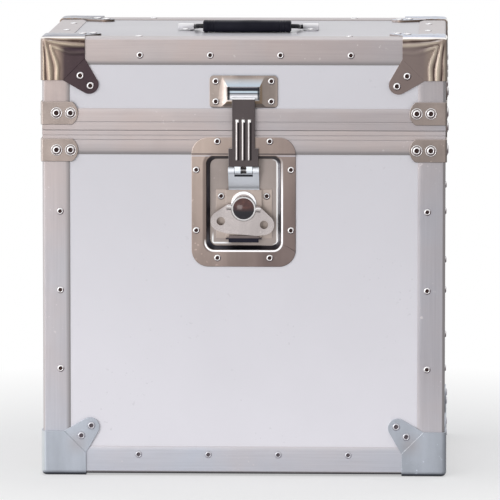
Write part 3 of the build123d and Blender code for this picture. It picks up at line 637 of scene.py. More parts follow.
def keeper_tone(net, body):
    """Painted sky reflection on the box where it turns up, painted brown shade on its right side, and painted
    shade along its foot.
    """
    # Painted sky reflection where the box turns up
    blue = net.paint(body, (0.470, 0.540, 0.610), net.span(net.turn["Rise"], 0.14, 0.26))
    on_box = net.span(net.off("Y", keeper_face), 1.6, 1.2)
    # Painted brown shade on the box's right side
    brown = net.paint(blue, (0.190, 0.135, 0.090), on_box,
                      net.span(net.turn["Lit"], 0.48, 0.42), 0.8)
    # Painted shade along the foot
    foot = net.span(net.off("Z", keeper_foot), 1.5, 0.9)
    return net.paint(brown, (0.060, 0.050, 0.052), foot, 0.75)


def cap_tone(net, body):
    """Painted dark, purple reflection on the tab and inner half of a lid cap, most of all on the left, the left
    cap painted darker as a whole, and a painted highlight on the shoulder.
    """
    from_edges = net.minus((lid_reach.x + lid_reach.y) / mm,
                           net.plus(net.size(net.off("X")), net.size(net.off("Y"))))
    # Painted dark reflection on the tab and the inner half
    inner = net.times(net.span(from_edges, 17.0, 25.0),
                      net.span(net.off("Z", lid_reach.z), -8.0, -13.0))
    # Painted shade: the left cap darker than the right
    side = net.span(net.off("X"), -40.0, 40.0)
    sided = net.tint(body, net.mix(side, (0.70, 0.67, 0.68), (1, 1, 1.06)))
    dusk = net.mix(side, (0.030, 0.019, 0.026), (0.180, 0.140, 0.132))
    # Painted highlight where the face turns from front to top
    shoulder = net.within(net.turn["Rise"], 0.36, 0.70, 0.07)
    return net.paint(net.paint(sided, dusk, inner, 0.90), (0.96, 0.94, 0.92), shoulder)


def low_cap_tone(net, body):
    """Painted contact shadow along the bottom edge where a base cap meets the floor, and a warmer, darker patch
    beside its tab.
    """
    from_side = net.minus(-left_face / mm, net.size(net.off("X")))
    toned = net.paint(body, (0.340, 0.320, 0.335), net.within(from_side, 26.0, 42.0, 5.0),
                      net.within(net.off("Z"), 24.0, 40.0, 6.0), 0.55)
    # Painted contact shadow along the bottom edge
    return net.paint(toned, (0.014, 0.017, 0.028), net.span(net.off("Z"), 3.4, 2.0), 0.92)


def low_place(net, most):
    """Rises towards the floor, where the rivet heads and hollows are given a duller, greyer tone."""
    return net.span(net.off("Z"), 75.0, 55.0, 0.0, most)


# Finishes


def laminate_finish(colour):
    """White decorative laminate: a very fine pebble and a soft gloss that handling dulls."""
    net = Finish("white_laminate")
    bloom = net.bloom(3.5, shade(colour, 1.03), shade(colour, 0.965))
    marks = net.marks(9.0, 0.35)
    # Painted light: the panels tinted lighter towards the bottom and a little darker towards the top
    painted_light_by_height = net.mix(net.span(net.off("Z"), 20.0, 300.0), (1.17, 1.17, 1.17), (0.96, 0.96, 0.96))
    toned = net.paint(net.tint(bloom["Tone"], painted_light_by_height), shade(colour, 0.8), marks["Scratch"])
    net.bump(net.noise(net.place, 1300.0), 0.16, 0.0002)
    return net.done(toned, marks["Smear"], (0.36, 0.52))


def aluminium_finish(colour, axis):
    """Satin anodised extrusion with die lines along one axis."""
    net = Finish(f"satin_aluminium_{axis}")
    grain = net.grain(tuple(0.02 if letter == axis else 1 for letter in "xyz"), 620.0, 1.1)
    red, green, blue = colour[:3]
    bloom = net.bloom(7.0, (red * 1.06, green * 0.97, blue * 0.96),
                      (red * 0.94, green, blue * 1.10))
    marks = net.marks(24.0, 0.6)
    lines = net.mix(grain["Mask"], shade(colour, 0.62), shade(colour, 1.35))
    lined = net.mix(0.28, bloom["Tone"], lines)
    up, lit = net.off("Z"), net.turn["Lit"]
    # Painted light and shade: the left side tinted lighter, bluer low down and warmer higher up, the right side
    # tinted darker above the lowest parts, except in the band just below the lid's rim
    height = net.span(up, 20.0, 400.0)
    left_tint = net.mix(height, (1.10, 1.20, 1.26), (1.00, 0.93, 0.86))
    right_tint = net.mix(height, (0.87, 0.96, 1.03), (0.86, 0.83, 0.80))
    below_lid = net.within(net.off("Z", lid_foot), -22.0, 0.0, 1.0)
    lined = net.tint(lined, net.paint(left_tint, right_tint, net.span(net.off("X"), -80.0, 120.0),
                                      net.span(up, 30.0, 110.0), net.minus(1.0, below_lid)))
    worn = net.paint(lined, shade(colour, 1.5), marks["Scratch"])
    # Painted shade on faces that turn down and right, painted highlight on those that turn up and left
    dark = net.paint(worn, shade(colour, 0.55), net.span(lit, 0.49, 0.40))
    bright = net.paint(dark, shade(colour, 1.35), net.span(lit, 0.54, 0.75))
    # Painted shade on faces that turn down: near black close to the floor, half the tone higher up
    beneath = net.mix(net.span(up, 60.0, 90.0), (0.016, 0.017, 0.026), shade(colour, 0.5))
    net.bump(grain["Mask"], 0.22, 0.00012)
    return net.done(net.paint(bright, beneath, net.turn["Under"]), marks["Smear"], (0.46, 0.62),
                    Metallic=0.5)


def plated_finish(name, colour, stretch, streaks, roughness, fineness=420.0, upper=None, depth=0.8,
                  folds=None, retone=None, metal=0.9):
    """Plated pressing: streaky brightness along the draw, cloudy tone and rubbed patches, with painted highlight
    and shade by facing.
    """
    net = Finish(name)
    grain = net.grain(stretch, fineness)
    bloom = net.bloom(26.0, shade(colour, 1.18), shade(colour, 0.80))
    streak = net.mix(grain["Soft Mask"], shade(colour, 1 - 0.72 * streaks),
                     shade(colour, 1 + 0.85 * streaks))
    fine = net.mix(grain["Mask"], shade(colour, 0.72), shade(colour, 1.25))
    body = net.mix(0.5, net.mix(0.35, bloom["Tone"], fine), streak)
    if folds:
        body = folded_tone(net, body, grain["Soft Mask"], *folds)
    marks = net.marks(34.0, 0.7)
    worn = net.paint(body, shade(colour, 1.7), marks["Scratch"])
    # Painted highlight and shade by facing, and the upper tone painted where it faces up
    toned = turned_tone(net, worn, colour, upper or shade(colour, 1.6), depth)
    if retone:
        toned = retone(net, toned)
    net.bump(grain["Mask"], 0.12, 0.0001)
    return net.done(toned, marks["Smear"], (roughness, roughness + 0.18), Metallic=metal)


def slot_shade_finish():
    """Strip painted with bands of shade, highlight and reflection as seen through the slot, and dark painted ends.
    """
    net = Finish("keeper_slot_shade")
    grain = net.grain((0.05, 1, 1), 420.0)
    tone = net.mix(grain["Soft Mask"], (0.26, 0.25, 0.30), (0.34, 0.32, 0.36))
    up = net.plus(net.off("Z", hook_crest), 4.6)
    # Painted bands: black shade at the top, a bluish painted reflection, a dark shade line, a grey band and a
    # white painted highlight below
    for low, high, colour in (
            (11.0, 14.0, (0.006, 0.007, 0.014)), (8.9, 10.9, (0.50, 0.59, 0.66)),
            (7.5, 8.8, (0.10, 0.11, 0.13)), (6.2, 7.4, (0.58, 0.58, 0.61)),
            (1.0, 6.1, (0.92, 0.92, 0.95))):
        tone = net.paint(tone, colour, net.within(up, low, high, 0.15))
    # Painted shade at the strip's ends
    ends = net.span(net.size(net.off("X")), 13.4, 14.2)
    return net.done(net.paint(tone, (0.006, 0.006, 0.010), ends, 0.9), grain["Mask"], (0.34, 0.46),
                    Metallic=0.4)


def rivet_head_finish():
    """Bright pulled head with a painted highlight where it turns up and left, painted shade where it turns down
    and right, and a greyer tone painted where it faces up.
    """
    net = Finish("rivet_head")
    bloom = net.bloom(330.0, (0.86, 0.84, 0.85), (0.62, 0.58, 0.58))
    # Painted shade and painted highlight by facing, and a painted grey tone where the head faces up
    toned = net.paint(bloom["Tone"], (0.12, 0.09, 0.10), net.span(net.turn["Lit"], 0.49, 0.32))
    toned = net.paint(toned, (1, 1, 1), net.span(net.turn["Lit"], 0.55, 0.75))
    toned = net.paint(toned, (0.46, 0.45, 0.49), net.turn["Up"])
    toned = net.paint(toned, (0.47, 0.47, 0.52), low_place(net, 0.72))
    net.bump(bloom["Mask"], 0.2, 0.0002)
    return net.done(toned, bloom["Mask"], (0.42, 0.26), Metallic=0.95)


def rivet_hollow_finish():
    """Dark end of the mandrel inside the head, painted near black as the shade in the hollow."""
    net = Finish("rivet_hollow")
    bloom = net.bloom(500.0, (0.055, 0.022, 0.018), (0.014, 0.007, 0.007))
    toned = net.paint(bloom["Tone"], (0.20, 0.18, 0.21), low_place(net, 0.45))
    return net.done(toned, bloom["Mask"], (0.7, 0.5), Specular_IOR_Level=0.25)


def dome_finish():
    """Polished dome: near black with a brown cast, as it mirrors a dark room."""
    net = Finish("polished_dome")
    bloom = net.bloom(95.0, (0.120, 0.046, 0.038), (0.038, 0.014, 0.016))
    # Painted dark reflection on the lower half of the dome
    below = net.span(net.off("Z", latch_axis.z), 1.5, -3.0)
    return net.done(net.paint(bloom["Tone"], (0.006, 0.004, 0.010), below), bloom["Mask"],
                    (0.14, 0.22), IOR=1.45, Coat_Weight=0.12, Coat_Roughness=0.05)


def grip_finish():
    """Black moulded grip with a fine spark texture, polished by hands in patches."""
    net = Finish("black_grip")
    bloom = net.bloom(40.0, (0.012, 0.012, 0.021), (0.006, 0.006, 0.012))
    net.bump(net.noise(net.place, 2200.0), 0.35, 0.0002)
    return net.done(bloom["Tone"], bloom["Mask"], (0.55, 0.36), Specular_IOR_Level=0.12)


def wire_finish():
    """Black lacquer on the wire bail, thin where it rubs."""
    net = Finish("black_wire")
    smear = net.marks(120.0, 1.0)["Smear"]
    net.bump(smear, 0.15, 0.0002)
    return net.done(net.mix(smear, (0.010, 0.010, 0.014), (0.045, 0.042, 0.044)), smear,
                    (0.30, 0.50), Specular_IOR_Level=0.2)


def foam_finish():
    """Charcoal open-cell foam: small dark pores and a dry, slightly dusty face."""
    net = Finish("charcoal_foam")
    cells = net.add("ShaderNodeTexVoronoi", Vector=net.place, Scale=700.0)
    pores = net.span(cells.outputs["Distance"], 0.10, 0.55)
    bloom = net.bloom(18.0, (0.060, 0.060, 0.064), (0.034, 0.034, 0.037))
    net.bump(net.minus(1.0, pores), 0.6, 0.0006)
    return net.done(net.paint(bloom["Tone"], (0.012, 0.012, 0.013), pores), pores, (0.88, 0.98))


# Folds of the lid's corner caps

flat_crest = 0.36  # height of the smooth parts, between the valleys at 0 and the crests at 1


def ease_between(value, start, stop):
    """0 before the start, 1 after the stop and a smooth rise between them."""
    share = min(1.0, max(0.0, (value - start) / (stop - start)))
    return share * share * (3 - 2 * share)


def fold_height(across, up, pitch):
    """Height from 0 to 1 over one face of a cap, at two distances from its outer edges."""
    near, far = min(across, up), max(across, up)
    spread = near / (0.5 + 0.5 * ease_between(far, 0, 34 * mm))
    bend = 0.35 * mm * math.sin(far / (5.3 * mm) + 2.1 * spread / pitch)
    wave = 0.5 + 0.5 * math.cos(2 * math.pi * ((spread + bend) / pitch - 0.32))
    share = ease_between(far, 3 * mm, 12 * mm) * ease_between(spread, 22 * mm, 18 * mm)
    return flat_crest + (wave - flat_crest) * share


def sliced_corner(bm, low, high, cell):
    """Leaves the front left cap alone, cut into a fine grid along all three axes."""
    others = [vert for vert in bm.verts if vert.co.x > 0 or vert.co.y > 0]
    bmesh.ops.delete(bm, geom=others, context="VERTS")
    for axis, edge, inward in ((0, low.x, 1), (1, low.y, 1), (2, high.z, -1)):
        normal = Vector((axis == 0, axis == 1, axis == 2))
        for index in range(1, int(44 * mm / cell)):
            everything = bm.verts[:] + bm.edges[:] + bm.faces[:]
            bmesh.ops.bisect_plane(bm, geom=everything, dist=0.01 * mm, plane_no=normal,
                                   plane_co=normal * (edge + inward * index * cell))


def mirrored_to_corners(bm):
    for flip in ((-1, 1, 1), (1, -1, 1)):
        twin = bmesh.ops.duplicate(bm, geom=bm.verts[:] + bm.edges[:] + bm.faces[:])["geom"]
        verts = [item for item in twin if isinstance(item, bmesh.types.BMVert)]
        faces = [item for item in twin if isinstance(item, bmesh.types.BMFace)]
        bmesh.ops.scale(bm, vec=flip, verts=verts)
        bmesh.ops.reverse_faces(bm, faces=faces)


def folded_caps(box, caps):
    """Returns the step that meshes one cap finely, presses its folds and mirrors it to all four."""
    low, high = box
    reach = 1.2 * mm  # depth under the outer faces at which the folds have died away

    def reshape(bm):
        sliced_corner(bm, low, high, caps.cell)
        crest = bm.verts.layers.float.new("crest")
        for vert in bm.verts:
            inset = (vert.co.x - low.x, vert.co.y - low.y, high.z - vert.co.z)
            shift, heights, total = Vector(), 0.0, 0.0
            for axis, outward in enumerate((-1, -1, 1)):
                share = max(0.0, 1 - inset[axis] / reach)
                across, up = (inset[other] for other in range(3) if other != axis)
                height = fold_height(across, up, caps.fold_pitch)
                shift[axis] -= outward * share * (1 - height) * caps.fold_depth
                heights += share * height
                total += share
            vert[crest] = heights / total if total > 0.05 else flat_crest
            vert.co += shift
        mirrored_to_corners(bm)

    return reshape


# Painted shade strip behind the keeper's slot


def keeper_slot_shade(material):
    """Thin strip behind the slot, with its ends turned back to the panel, put there to stand for the shade inside
    the slot.
    """
    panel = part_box("lid_front_panel")[0].y
    low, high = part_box("keeper")
    foot, head = low.z + 3.2 * mm, high.z - 5.6 * mm
    face, turn, half = panel - 0.3 * mm, 0.9 * mm, 17.6 * mm
    outline = ((panel, foot), (face, foot + turn), (face, head - turn), (panel, head))
    bm = lofted([[(x, y, z) for y, z in outline] for x in (-half, half)])
    name = "keeper_slot_shade"
    seated(linked(name, bmesh_to(name, bm, material)), "lid", "plated_steel")


# Rivets: each head is a point, a facing and a girth

to_front, to_left = (0, -1, 0), (-1, 0, 0)
cap_spots = ((38.3 * mm, 38.3 * mm), (48.4 * mm, 48.4 * mm))
cap_girth, cap_tab_proud = 1.12, 1.0 * mm
brace_spots, brace_girth = (14.5 * mm, 28.5 * mm), 1.22
saddle_sheet, saddle_spread, saddle_girth = 1.5 * mm, 11.6 * mm, 0.9

# Section of a head from its crown to its foot: shares of its radius and of its height
head_profile = (
    (0.00, 0.25), (0.47, 0.25), (0.53, 0.80), (0.60, 0.98), (0.70, 1.00),
    (0.83, 0.84), (0.94, 0.52), (1.00, 0.16), (1.00, 0.00), (0.00, 0.00),
)
hollow_radius, hollow_floor = 0.53, 0.2

# Stamped ring round the stout heads of the braces: its radius and its section, in head radii
ring_radius, ring_section, ringed_from = 1.22, 0.13, 1.17


def row(points, facing, girth=1.0):
    return [(Vector(point), Vector(facing), girth) for point in points]


def mirrored_row(points, facing, girth=1.0):
    """The same heads on the front and back, or on the left and right, of the case."""
    x, y, z = facing
    turned = [(px * (-1 if x else 1), py * (-1 if y else 1), pz) for px, py, pz in points]
    return row(points, facing, girth) + row(turned, (-x, -y, z), girth)


def corner_rows(edge_z, toward, spots, level=0.0, girth=1.0):
    """Heads near all eight upright faces of the corners; spots are (across, up) from a corner."""
    heads = []
    for side in (-1, 1):
        for across, up in spots:
            z = edge_z + toward * up
            for_front = (side * (-left_face - across), front_face - level, z)
            for_left = (left_face - level, side * (-front_face - across), z)
            heads += mirrored_row([for_front], to_front, girth)
            heads += mirrored_row([for_left], to_left, girth)
    return heads


def long_rows(rivets, z, offset):
    """Heads along the front, back and both sides at one height."""
    long_steps = [offset + rivets.pitch * (index - 1.5) for index in range(4)]
    side_steps = [rivets.pitch * index for index in (-1, 0, 1)]
    return (mirrored_row([(x, front_face, z) for x in long_steps], to_front)
            + mirrored_row([(left_face, y, z) for y in side_steps], to_left))


def base_heads(rivets):
    low_inset = rivets.inset + 1.6 * mm
    uprights = [(rivets.inset, 106 * mm + rivets.upright_pitch * index) for index in range(3)]
    brace_row = [(across, base_brace_z - floor_face) for across in brace_spots]
    under = [(x, y * (-front_face - low_inset), floor_face)
             for x in (-1.5 * rivets.pitch, 0, 1.5 * rivets.pitch) for y in (-1, 1)]
    return (long_rows(rivets, floor_face + low_inset, -0.4 * mm)
            + corner_rows(floor_face, 1, uprights)
            + corner_rows(floor_face, 1, cap_spots, cap_tab_proud, cap_girth)
            + corner_rows(floor_face, 1, brace_row, brace_proud, brace_girth)
            + row(under, (0, 0, -1))
            + carried_heads("latch_rivets") + carried_heads("hinge_rivets"))


def lid_heads(rivets):
    sides = (-1, 1)
    brace_row = [(across, top_face - lid_brace_z) for across in brace_spots]
    over_caps = [(x * (-left_face - a), y * (-front_face - b), top_face + cap_tab_proud)
                 for x in sides for y in sides for a, b in cap_spots]
    over = [(x, side * (-front_face - rivets.inset), top_face)
            for x in (-1.5 * rivets.pitch, 1.5 * rivets.pitch) for side in sides]
    over += [(side * (-left_face - rivets.inset), y, top_face)
             for y in (-0.75 * rivets.pitch, 0.75 * rivets.pitch) for side in sides]
    low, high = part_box("handle_brackets")
    saddle_x, middle = high.x - 8 * mm, (low.y + high.y) / 2
    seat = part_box("lid_top_panel")[1].z + saddle_sheet
    saddles = [(side * saddle_x, middle + end * saddle_spread, seat)
               for side in sides for end in sides]
    return (long_rows(rivets, top_face - rivets.inset, 1.8 * mm)
            + corner_rows(top_face, -1, cap_spots, cap_tab_proud, cap_girth)
            + corner_rows(top_face, -1, brace_row, brace_proud, brace_girth)
            + row(over_caps, (0, 0, 1), cap_girth) + row(over, (0, 0, 1))
            + row(saddles, (0, 0, 1), saddle_girth) + carried_heads("lid_rivets"))


def shells(bm):
    """Points of each loose shell of a mesh."""
    seen = set()
    for start in bm.verts:
        if start in seen:
            continue
        seen.add(start)
        shell = [start]
        for vert in shell:
            for edge in vert.link_edges:
                other = edge.other_vert(vert)
                if other not in seen:
                    seen.add(other)
                    shell.append(other)
        yield [vert.co for vert in shell]


def carried_heads(node):
    """Places of the heads that the frame already has, one for each loose shell of the node."""
    bm = bmesh_of(frame["nodes"][node].data)
    bmesh.ops.remove_doubles(bm, verts=bm.verts, dist=weld)
    heads = []
    for shell in shells(bm):
        low, high = (Vector(end(point[axis] for point in shell) for axis in range(3))
                     for end in (min, max))
        middle = (low + high) / 2
        seat, outward = (low.y, 1) if middle.y > 0 else (high.y, -1)
        heads += row([(middle.x, seat, middle.z)], (0, outward, 0))
    bm.free()
    return heads


class Shape(Group):
    """Geometry tree with a geometry in and out, and other named inputs."""

    def __init__(self, name, **inputs):
        inputs = {title.replace("_", " "): value for title, value in inputs.items()}
        super().__init__(name, "GeometryNodeTree", {"Geometry": ("Geometry", None), **inputs},
                         {"Geometry": "Geometry"})

    def form(self, kind, **inputs):
        return self.add("GeometryNode" + kind, **inputs).outputs[0]

    def compare(self, operation, first, second):
        options = {"data_type": "FLOAT", "operation": operation}
        return self.add("FunctionNodeCompare", first, second, options=options).outputs[0]

    def carried(self, name, kind):
        """An attribute that the mesh carries."""
        return self.add("GeometryNodeInputNamedAttribute", options={"data_type": kind},
                        Name=name).outputs[0]

    def position(self):
        return self.add("ShaderNodeSeparateXYZ", self.form("InputPosition")).outputs

    def smooth(self, geometry):
        return self.form("SetShadeSmooth", Geometry=geometry, Shade_Smooth=True)

    def tube(self, line, resolution, radius, **ends):
        section = self.form("CurvePrimitiveCircle", Resolution=resolution, Radius=radius)
        return self.smooth(self.form("CurveToMesh", Curve=line, Profile_Curve=section, **ends))

    def curve(self, value, numbers):
        """Curve through evenly spaced numbers, straight between them."""
        node = self.add("ShaderNodeFloatCurve", Value=value)
        points, last = node.mapping.curves[0].points, len(numbers) - 1
        points[0].location, points[1].location = (0, numbers[0]), (1, numbers[-1])
        for index in range(1, last):
            points.new(index / last, numbers[index])
        for point in points:
            point.handle_type = "VECTOR"
        node.mapping.update()
        return node.outputs[0]

    def leave_with(self, geometry, material):
        """Ends the tree in real meshes with their material; returns the last node's output."""
        real = self.form("RealizeInstances", Geometry=geometry)
        painted = self.form("SetMaterial", Geometry=real, Material=material)
        self.feed(self.leave[0], painted)
        return painted


def lathed_head(net):
    """A head on the origin, with a face attribute that marks its hollow."""
    radius, height = net.enter["Radius"], net.enter["Height"]
    grid = net.form("MeshGrid", Size_X=1.0, Size_Y=1.0, Vertices_X=net.enter["Columns"],
                    Vertices_Y=len(head_profile))
    flat = net.position()
    turn = net.times(flat[0], -2 * math.pi)
    along = net.math("ADD", flat[1], 0.5, clamp=True)
    reach, rise = (net.curve(along, shares) for shares in zip(*head_profile))
    girth = net.times(reach, radius)
    place = net.add("ShaderNodeCombineXYZ", X=net.times(girth, net.math("COSINE", turn)),
                    Y=net.times(girth, net.math("SINE", turn)), Z=net.times(rise, height))
    lathe = net.form("SetPosition", Geometry=grid, Position=place.outputs[0])
    closed = net.form("MergeByDistance", Geometry=lathe, Distance=0.004 * mm)
    spot = net.position()
    flat_spot = net.add("ShaderNodeCombineXYZ", X=spot[0], Y=spot[1]).outputs[0]
    from_axis = net.add("ShaderNodeVectorMath", flat_spot, options={"operation": "LENGTH"})
    near = net.compare("LESS_THAN", from_axis.outputs["Value"], net.times(radius, hollow_radius))
    above = net.compare("GREATER_THAN", spot[2], net.times(height, hollow_floor))
    inside = net.add("FunctionNodeBooleanMath", near, above, options={"operation": "AND"})
    marked = net.add("GeometryNodeStoreNamedAttribute", Geometry=net.smooth(closed),
                     Name="in_hollow", options={"data_type": "BOOLEAN", "domain": "FACE"})
    value = next(item for item in marked.inputs if item.name == "Value" and item.enabled)
    net.feed(value, inside.outputs[0])
    return marked.outputs[0]


def rivet_tree():
    """Turns points with a facing and a girth into pulled rivet heads, lathed from a profile."""
    net = Shape("Pulled rivet heads", Radius=("Float", 3.4 * mm), Height=("Float", 1.2 * mm),
                Columns=("Int", 19), Head_Material=("Material", None),
                Hollow_Material=("Material", None))
    points, radius = net.enter["Geometry"], net.enter["Radius"]
    facing, girth = net.carried("facing", "FLOAT_VECTOR"), net.carried("girth", "FLOAT")
    aligned = net.add("FunctionNodeAlignRotationToVector", options={"axis": "Z"},
                      Vector=facing).outputs[0]
    placed = net.form("InstanceOnPoints", Points=points, Instance=lathed_head(net),
                      Rotation=aligned, Scale=girth)
    line = net.form("CurvePrimitiveCircle", Resolution=32, Radius=net.times(radius, ring_radius))
    ringed = net.form("InstanceOnPoints", Points=points, Rotation=aligned, Scale=girth,
                      Selection=net.compare("GREATER_THAN", girth, ringed_from),
                      Instance=net.tube(line, 8, net.times(radius, ring_section)))
    joined = net.add("GeometryNodeJoinGeometry")
    net.feed(joined.inputs[0], placed)
    net.feed(joined.inputs[0], ringed)
    heads = net.leave_with(joined.outputs[0], net.enter["Head Material"])
    ends = net.form("SetMaterial", Geometry=heads, Material=net.enter["Hollow Material"],
                    Selection=net.carried("in_hollow", "BOOLEAN"))
    net.feed(net.leave[0], ends)
    return net.tree


def heads_piece(body, heads, tree, rivets, materials, *nodes):
    """One mesh with all the heads of a body, which stands for the rivets the frame carries."""
    name = body + "_rivet_heads"
    mesh = bpy.data.meshes.new(name)
    mesh.from_pydata([tuple(point) for point, facing, girth in heads], [], [])
    mesh.materials.append(materials[0])
    mesh.attributes.new("facing", "FLOAT_VECTOR", "POINT")
    mesh.attributes.new("girth", "FLOAT", "POINT")
    for index, (point, facing, girth) in enumerate(heads):
        mesh.attributes["facing"].data[index].vector = facing
        mesh.attributes["girth"].data[index].value = girth
    piece = linked(name, mesh)
    run_tree(piece, tree, Radius=rivets.radius, Height=rivets.height, Columns=rivets.segments + 1,
             Head_Material=materials[0], Hollow_Material=materials[1])
    seated(piece, body, "rivet_steel", *nodes)


# Latch spring


def spring_tree():
    """Close coil round the knuckle pin: a spiral, turned to lie along X, with a round wire."""
    net = Shape("Latch spring", Coil_Radius=("Float", 2.1 * mm), Wire_Radius=("Float", 0.35 * mm),
                Pitch=("Float", 1.15 * mm), Turns=("Float", 4.0), Middle=("Vector", (0, 0, 0)),
                Material=("Material", None))
    coil, turns = net.enter["Coil Radius"], net.enter["Turns"]
    length = net.times(net.enter["Pitch"], turns)
    spiral = net.form("CurveSpiral", Resolution=24, Rotations=turns, Start_Radius=coil,
                      End_Radius=coil, Height=length)
    down = net.add("ShaderNodeCombineXYZ", Z=net.times(length, -0.5)).outputs[0]
    centred = net.form("Transform", Geometry=spiral, Translation=down)
    turned = net.form("Transform", Geometry=centred, Translation=net.enter["Middle"],
                      Rotation=(0, math.pi / 2, 0))
    wire = net.tube(turned, 10, net.enter["Wire Radius"], Fill_Caps=True)
    net.leave_with(wire, net.enter["Material"])
    return net.tree


def spring_piece(material):
    name = "hook_spring_coil"
    piece = linked(name, bpy.data.meshes.new(name))
    run_tree(piece, spring_tree(), Middle=tuple(knuckle_axis), Material=material)
    seated(piece, "link", "hook_steel", "hook_spring")


# Grip

grip_grooves = (0.13, 0.19, 0.25)  # from each end, in shares of half the grip


def grip_section(width, height, squareness, count):
    """Rounded rectangle as a squared-off ellipse."""
    def reach(wave, size):
        return math.copysign(abs(wave) ** (2 / squareness), wave) * size / 2

    angles = [2 * math.pi * index / count for index in range(count)]
    return [(reach(math.cos(angle), width), reach(math.sin(angle), height)) for angle in angles]


def grip_swell(position):
    """Share of the full section at a place from -1 to 1: round ends, grooves near each end."""
    from_end = 1 - abs(position)
    end = min(1.0, from_end / 0.045)
    swell = 0.80 + 0.20 * math.sqrt(max(0.0, 1 - (1 - end) ** 2))
    for place in grip_grooves:
        swell -= 0.055 * math.exp(-(((from_end - place) / 0.014) ** 2))
    return swell


def grip_piece(material):
    low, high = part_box("handle_grip")
    middle, size = (low + high) / 2, high - low
    count, around, rings = 120, 40, []
    for step in range(count + 1):
        position = 2 * step / count - 1
        swell = grip_swell(position)
        outline = grip_section(size.y * swell, size.z * swell, 3.4, around)
        rings.append([(middle.x + position * size.x / 2, middle.y + y, middle.z + z)
                      for y, z in outline])
    bm = lofted(rings)
    smooth_by_angle(bm, 40)
    name = "moulded_grip"
    seated(linked(name, bmesh_to(name, bm, material)), "handle", "grip", "handle_grip")


# Foam


def foam_piece(node, body, foam, material):
    """Foam block cut from the CAD solid, a little inside it, with uneven faces and soft edges."""
    name = node + "_cut"
    piece = linked(name, bmesh_to(name, merged_copy(node), material))
    waves = bpy.data.textures.new(node + "_saw", "CLOUDS")
    waves.noise_scale = 45 * mm
    modify(piece, "Cells", "REMESH", mode="VOXEL", voxel_size=foam.cell, use_smooth_shade=True)
    modify(piece, "Soft edges", "SMOOTH", factor=0.5, iterations=3)
    modify(piece, "Inside the solid", "DISPLACE", mid_level=0,
           strength=-(foam.shrink + foam.unevenness / 2))
    modify(piece, "Saw waves", "DISPLACE", texture=waves, texture_coords="LOCAL", mid_level=0.5,
           strength=foam.unevenness)
    flatten_modifiers(piece)
    for face in piece.data.polygons:
        face.use_smooth = True
    seated(piece, body, "foam", node)


# Stage


def plain_rays(net):
    """1 for rays that see the stage itself, straight, in a mirror or through glass."""
    rays = net.add("ShaderNodeLightPath").outputs
    return net.most(rays["Is Camera Ray"],
                    net.most(rays["Is Glossy Ray"], rays["Is Transmission Ray"]))


def floor_finish():
    """Pale floor that keeps the case's shadow and turns to plain white away from it."""
    net = Finish("pale_floor")
    net.feed(net.shader.inputs["Base Color"], (0.90, 0.90, 0.90))
    net.feed(net.shader.inputs["Roughness"], 0.9)
    white = net.add("ShaderNodeEmission", Strength=1.0)
    reach = net.add("ShaderNodeVectorMath", net.place, options={"operation": "LENGTH"})
    far = net.span(reach.outputs["Value"], 0.30, 0.75, 0.45, 1.0)
    mix = net.add("ShaderNodeMixShader", net.times(far, plain_rays(net)), net.shader.outputs[0],
                  white.outputs[0])
    net.feed(net.output.inputs["Surface"], mix.outputs[0])
    return net.material


def disc_floor(radius):
    bm = bmesh.new()
    bmesh.ops.create_circle(bm, cap_ends=True, segments=96, radius=radius)
    floor = linked("studio_floor", bmesh_to("studio_floor", bm, floor_finish()))


def turn_towards(item, place, direction, axis):
    """Stands a lamp or camera at a place, with one of its axes along a direction."""
    item.location = place
    item.rotation_mode = "QUATERNION"
    item.rotation_quaternion = direction.to_track_quat(axis, "Y")


def soft_lamp(name, place, aim, width, power):
    lamp = bpy.data.lights.new(name, "AREA")
    lamp.shape = "RECTANGLE"
    lamp.size = lamp.size_y = width
    lamp.energy = power
    turn_towards(linked(name, lamp), place, Vector(aim) - Vector(place), "-Z")


def room_light(strength):
    """Even pale room; camera, glossy and transmission rays see plain white."""
    world = bpy.data.worlds.new("studio_room")
    world.use_nodes = True
    bpy.context.scene.world = world
    net = Net(world.node_tree)
    net.tree.nodes.clear()
    room = net.add("ShaderNodeBackground", Color=(0.97, 0.98, 1.0), Strength=strength)
    white = net.add("ShaderNodeBackground", Color=(1, 1, 1), Strength=1.0)
    mix = net.add("ShaderNodeMixShader", plain_rays(net), room.outputs[0], white.outputs[0])
    net.add("ShaderNodeOutputWorld", Surface=mix.outputs[0])


def place_camera(stage):
    azimuth, elevation = math.radians(stage.azimuth), math.radians(stage.elevation)
    back = Vector((math.sin(azimuth) * math.cos(elevation),
                   -math.cos(azimuth) * math.cos(elevation), math.sin(elevation)))
    lens = bpy.data.cameras.new("studio_camera")
    lens.sensor_width = 36
    lens.lens = stage.focal_pixels / 500 * 36
    lens.clip_start, lens.clip_end = 0.1, 50
    camera = linked("studio_camera", lens)
    turn_towards(camera, Vector(stage.aim) + back * stage.distance, back, "Z")
    bpy.context.scene.camera = camera


# Operators, one for each group of pieces


def long_axis(node):
    """Axis of the die lines; the posts of the lid are one node and all stand upright."""
    if node == "lid_corner_posts":
        return "z"
    low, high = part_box(node)
    size = high - low
    return "xyz"[max(range(3), key=lambda axis: size[axis])]


class CASE_OT_stage(bpy.types.Operator):
    """Camera, floor, softboxes and room light"""

    bl_idname = "case.stage"
    bl_label = "Stage"

    def execute(self, context):
        stage = context.scene.case_stage
        context.scene.view_settings.view_transform = "Standard"
        place_camera(stage)
        disc_floor(3.0)
        room_light(stage.world_strength)
        aim = (0, 0, 0.22)
        soft_lamp("front_softbox", (-1.2, -2.35, 0.42), aim, 1.6, stage.key_power)
        soft_lamp("top_softbox", (0.3, 0.2, 2.2), aim, 1.5, stage.top_power)
        return {"FINISHED"}


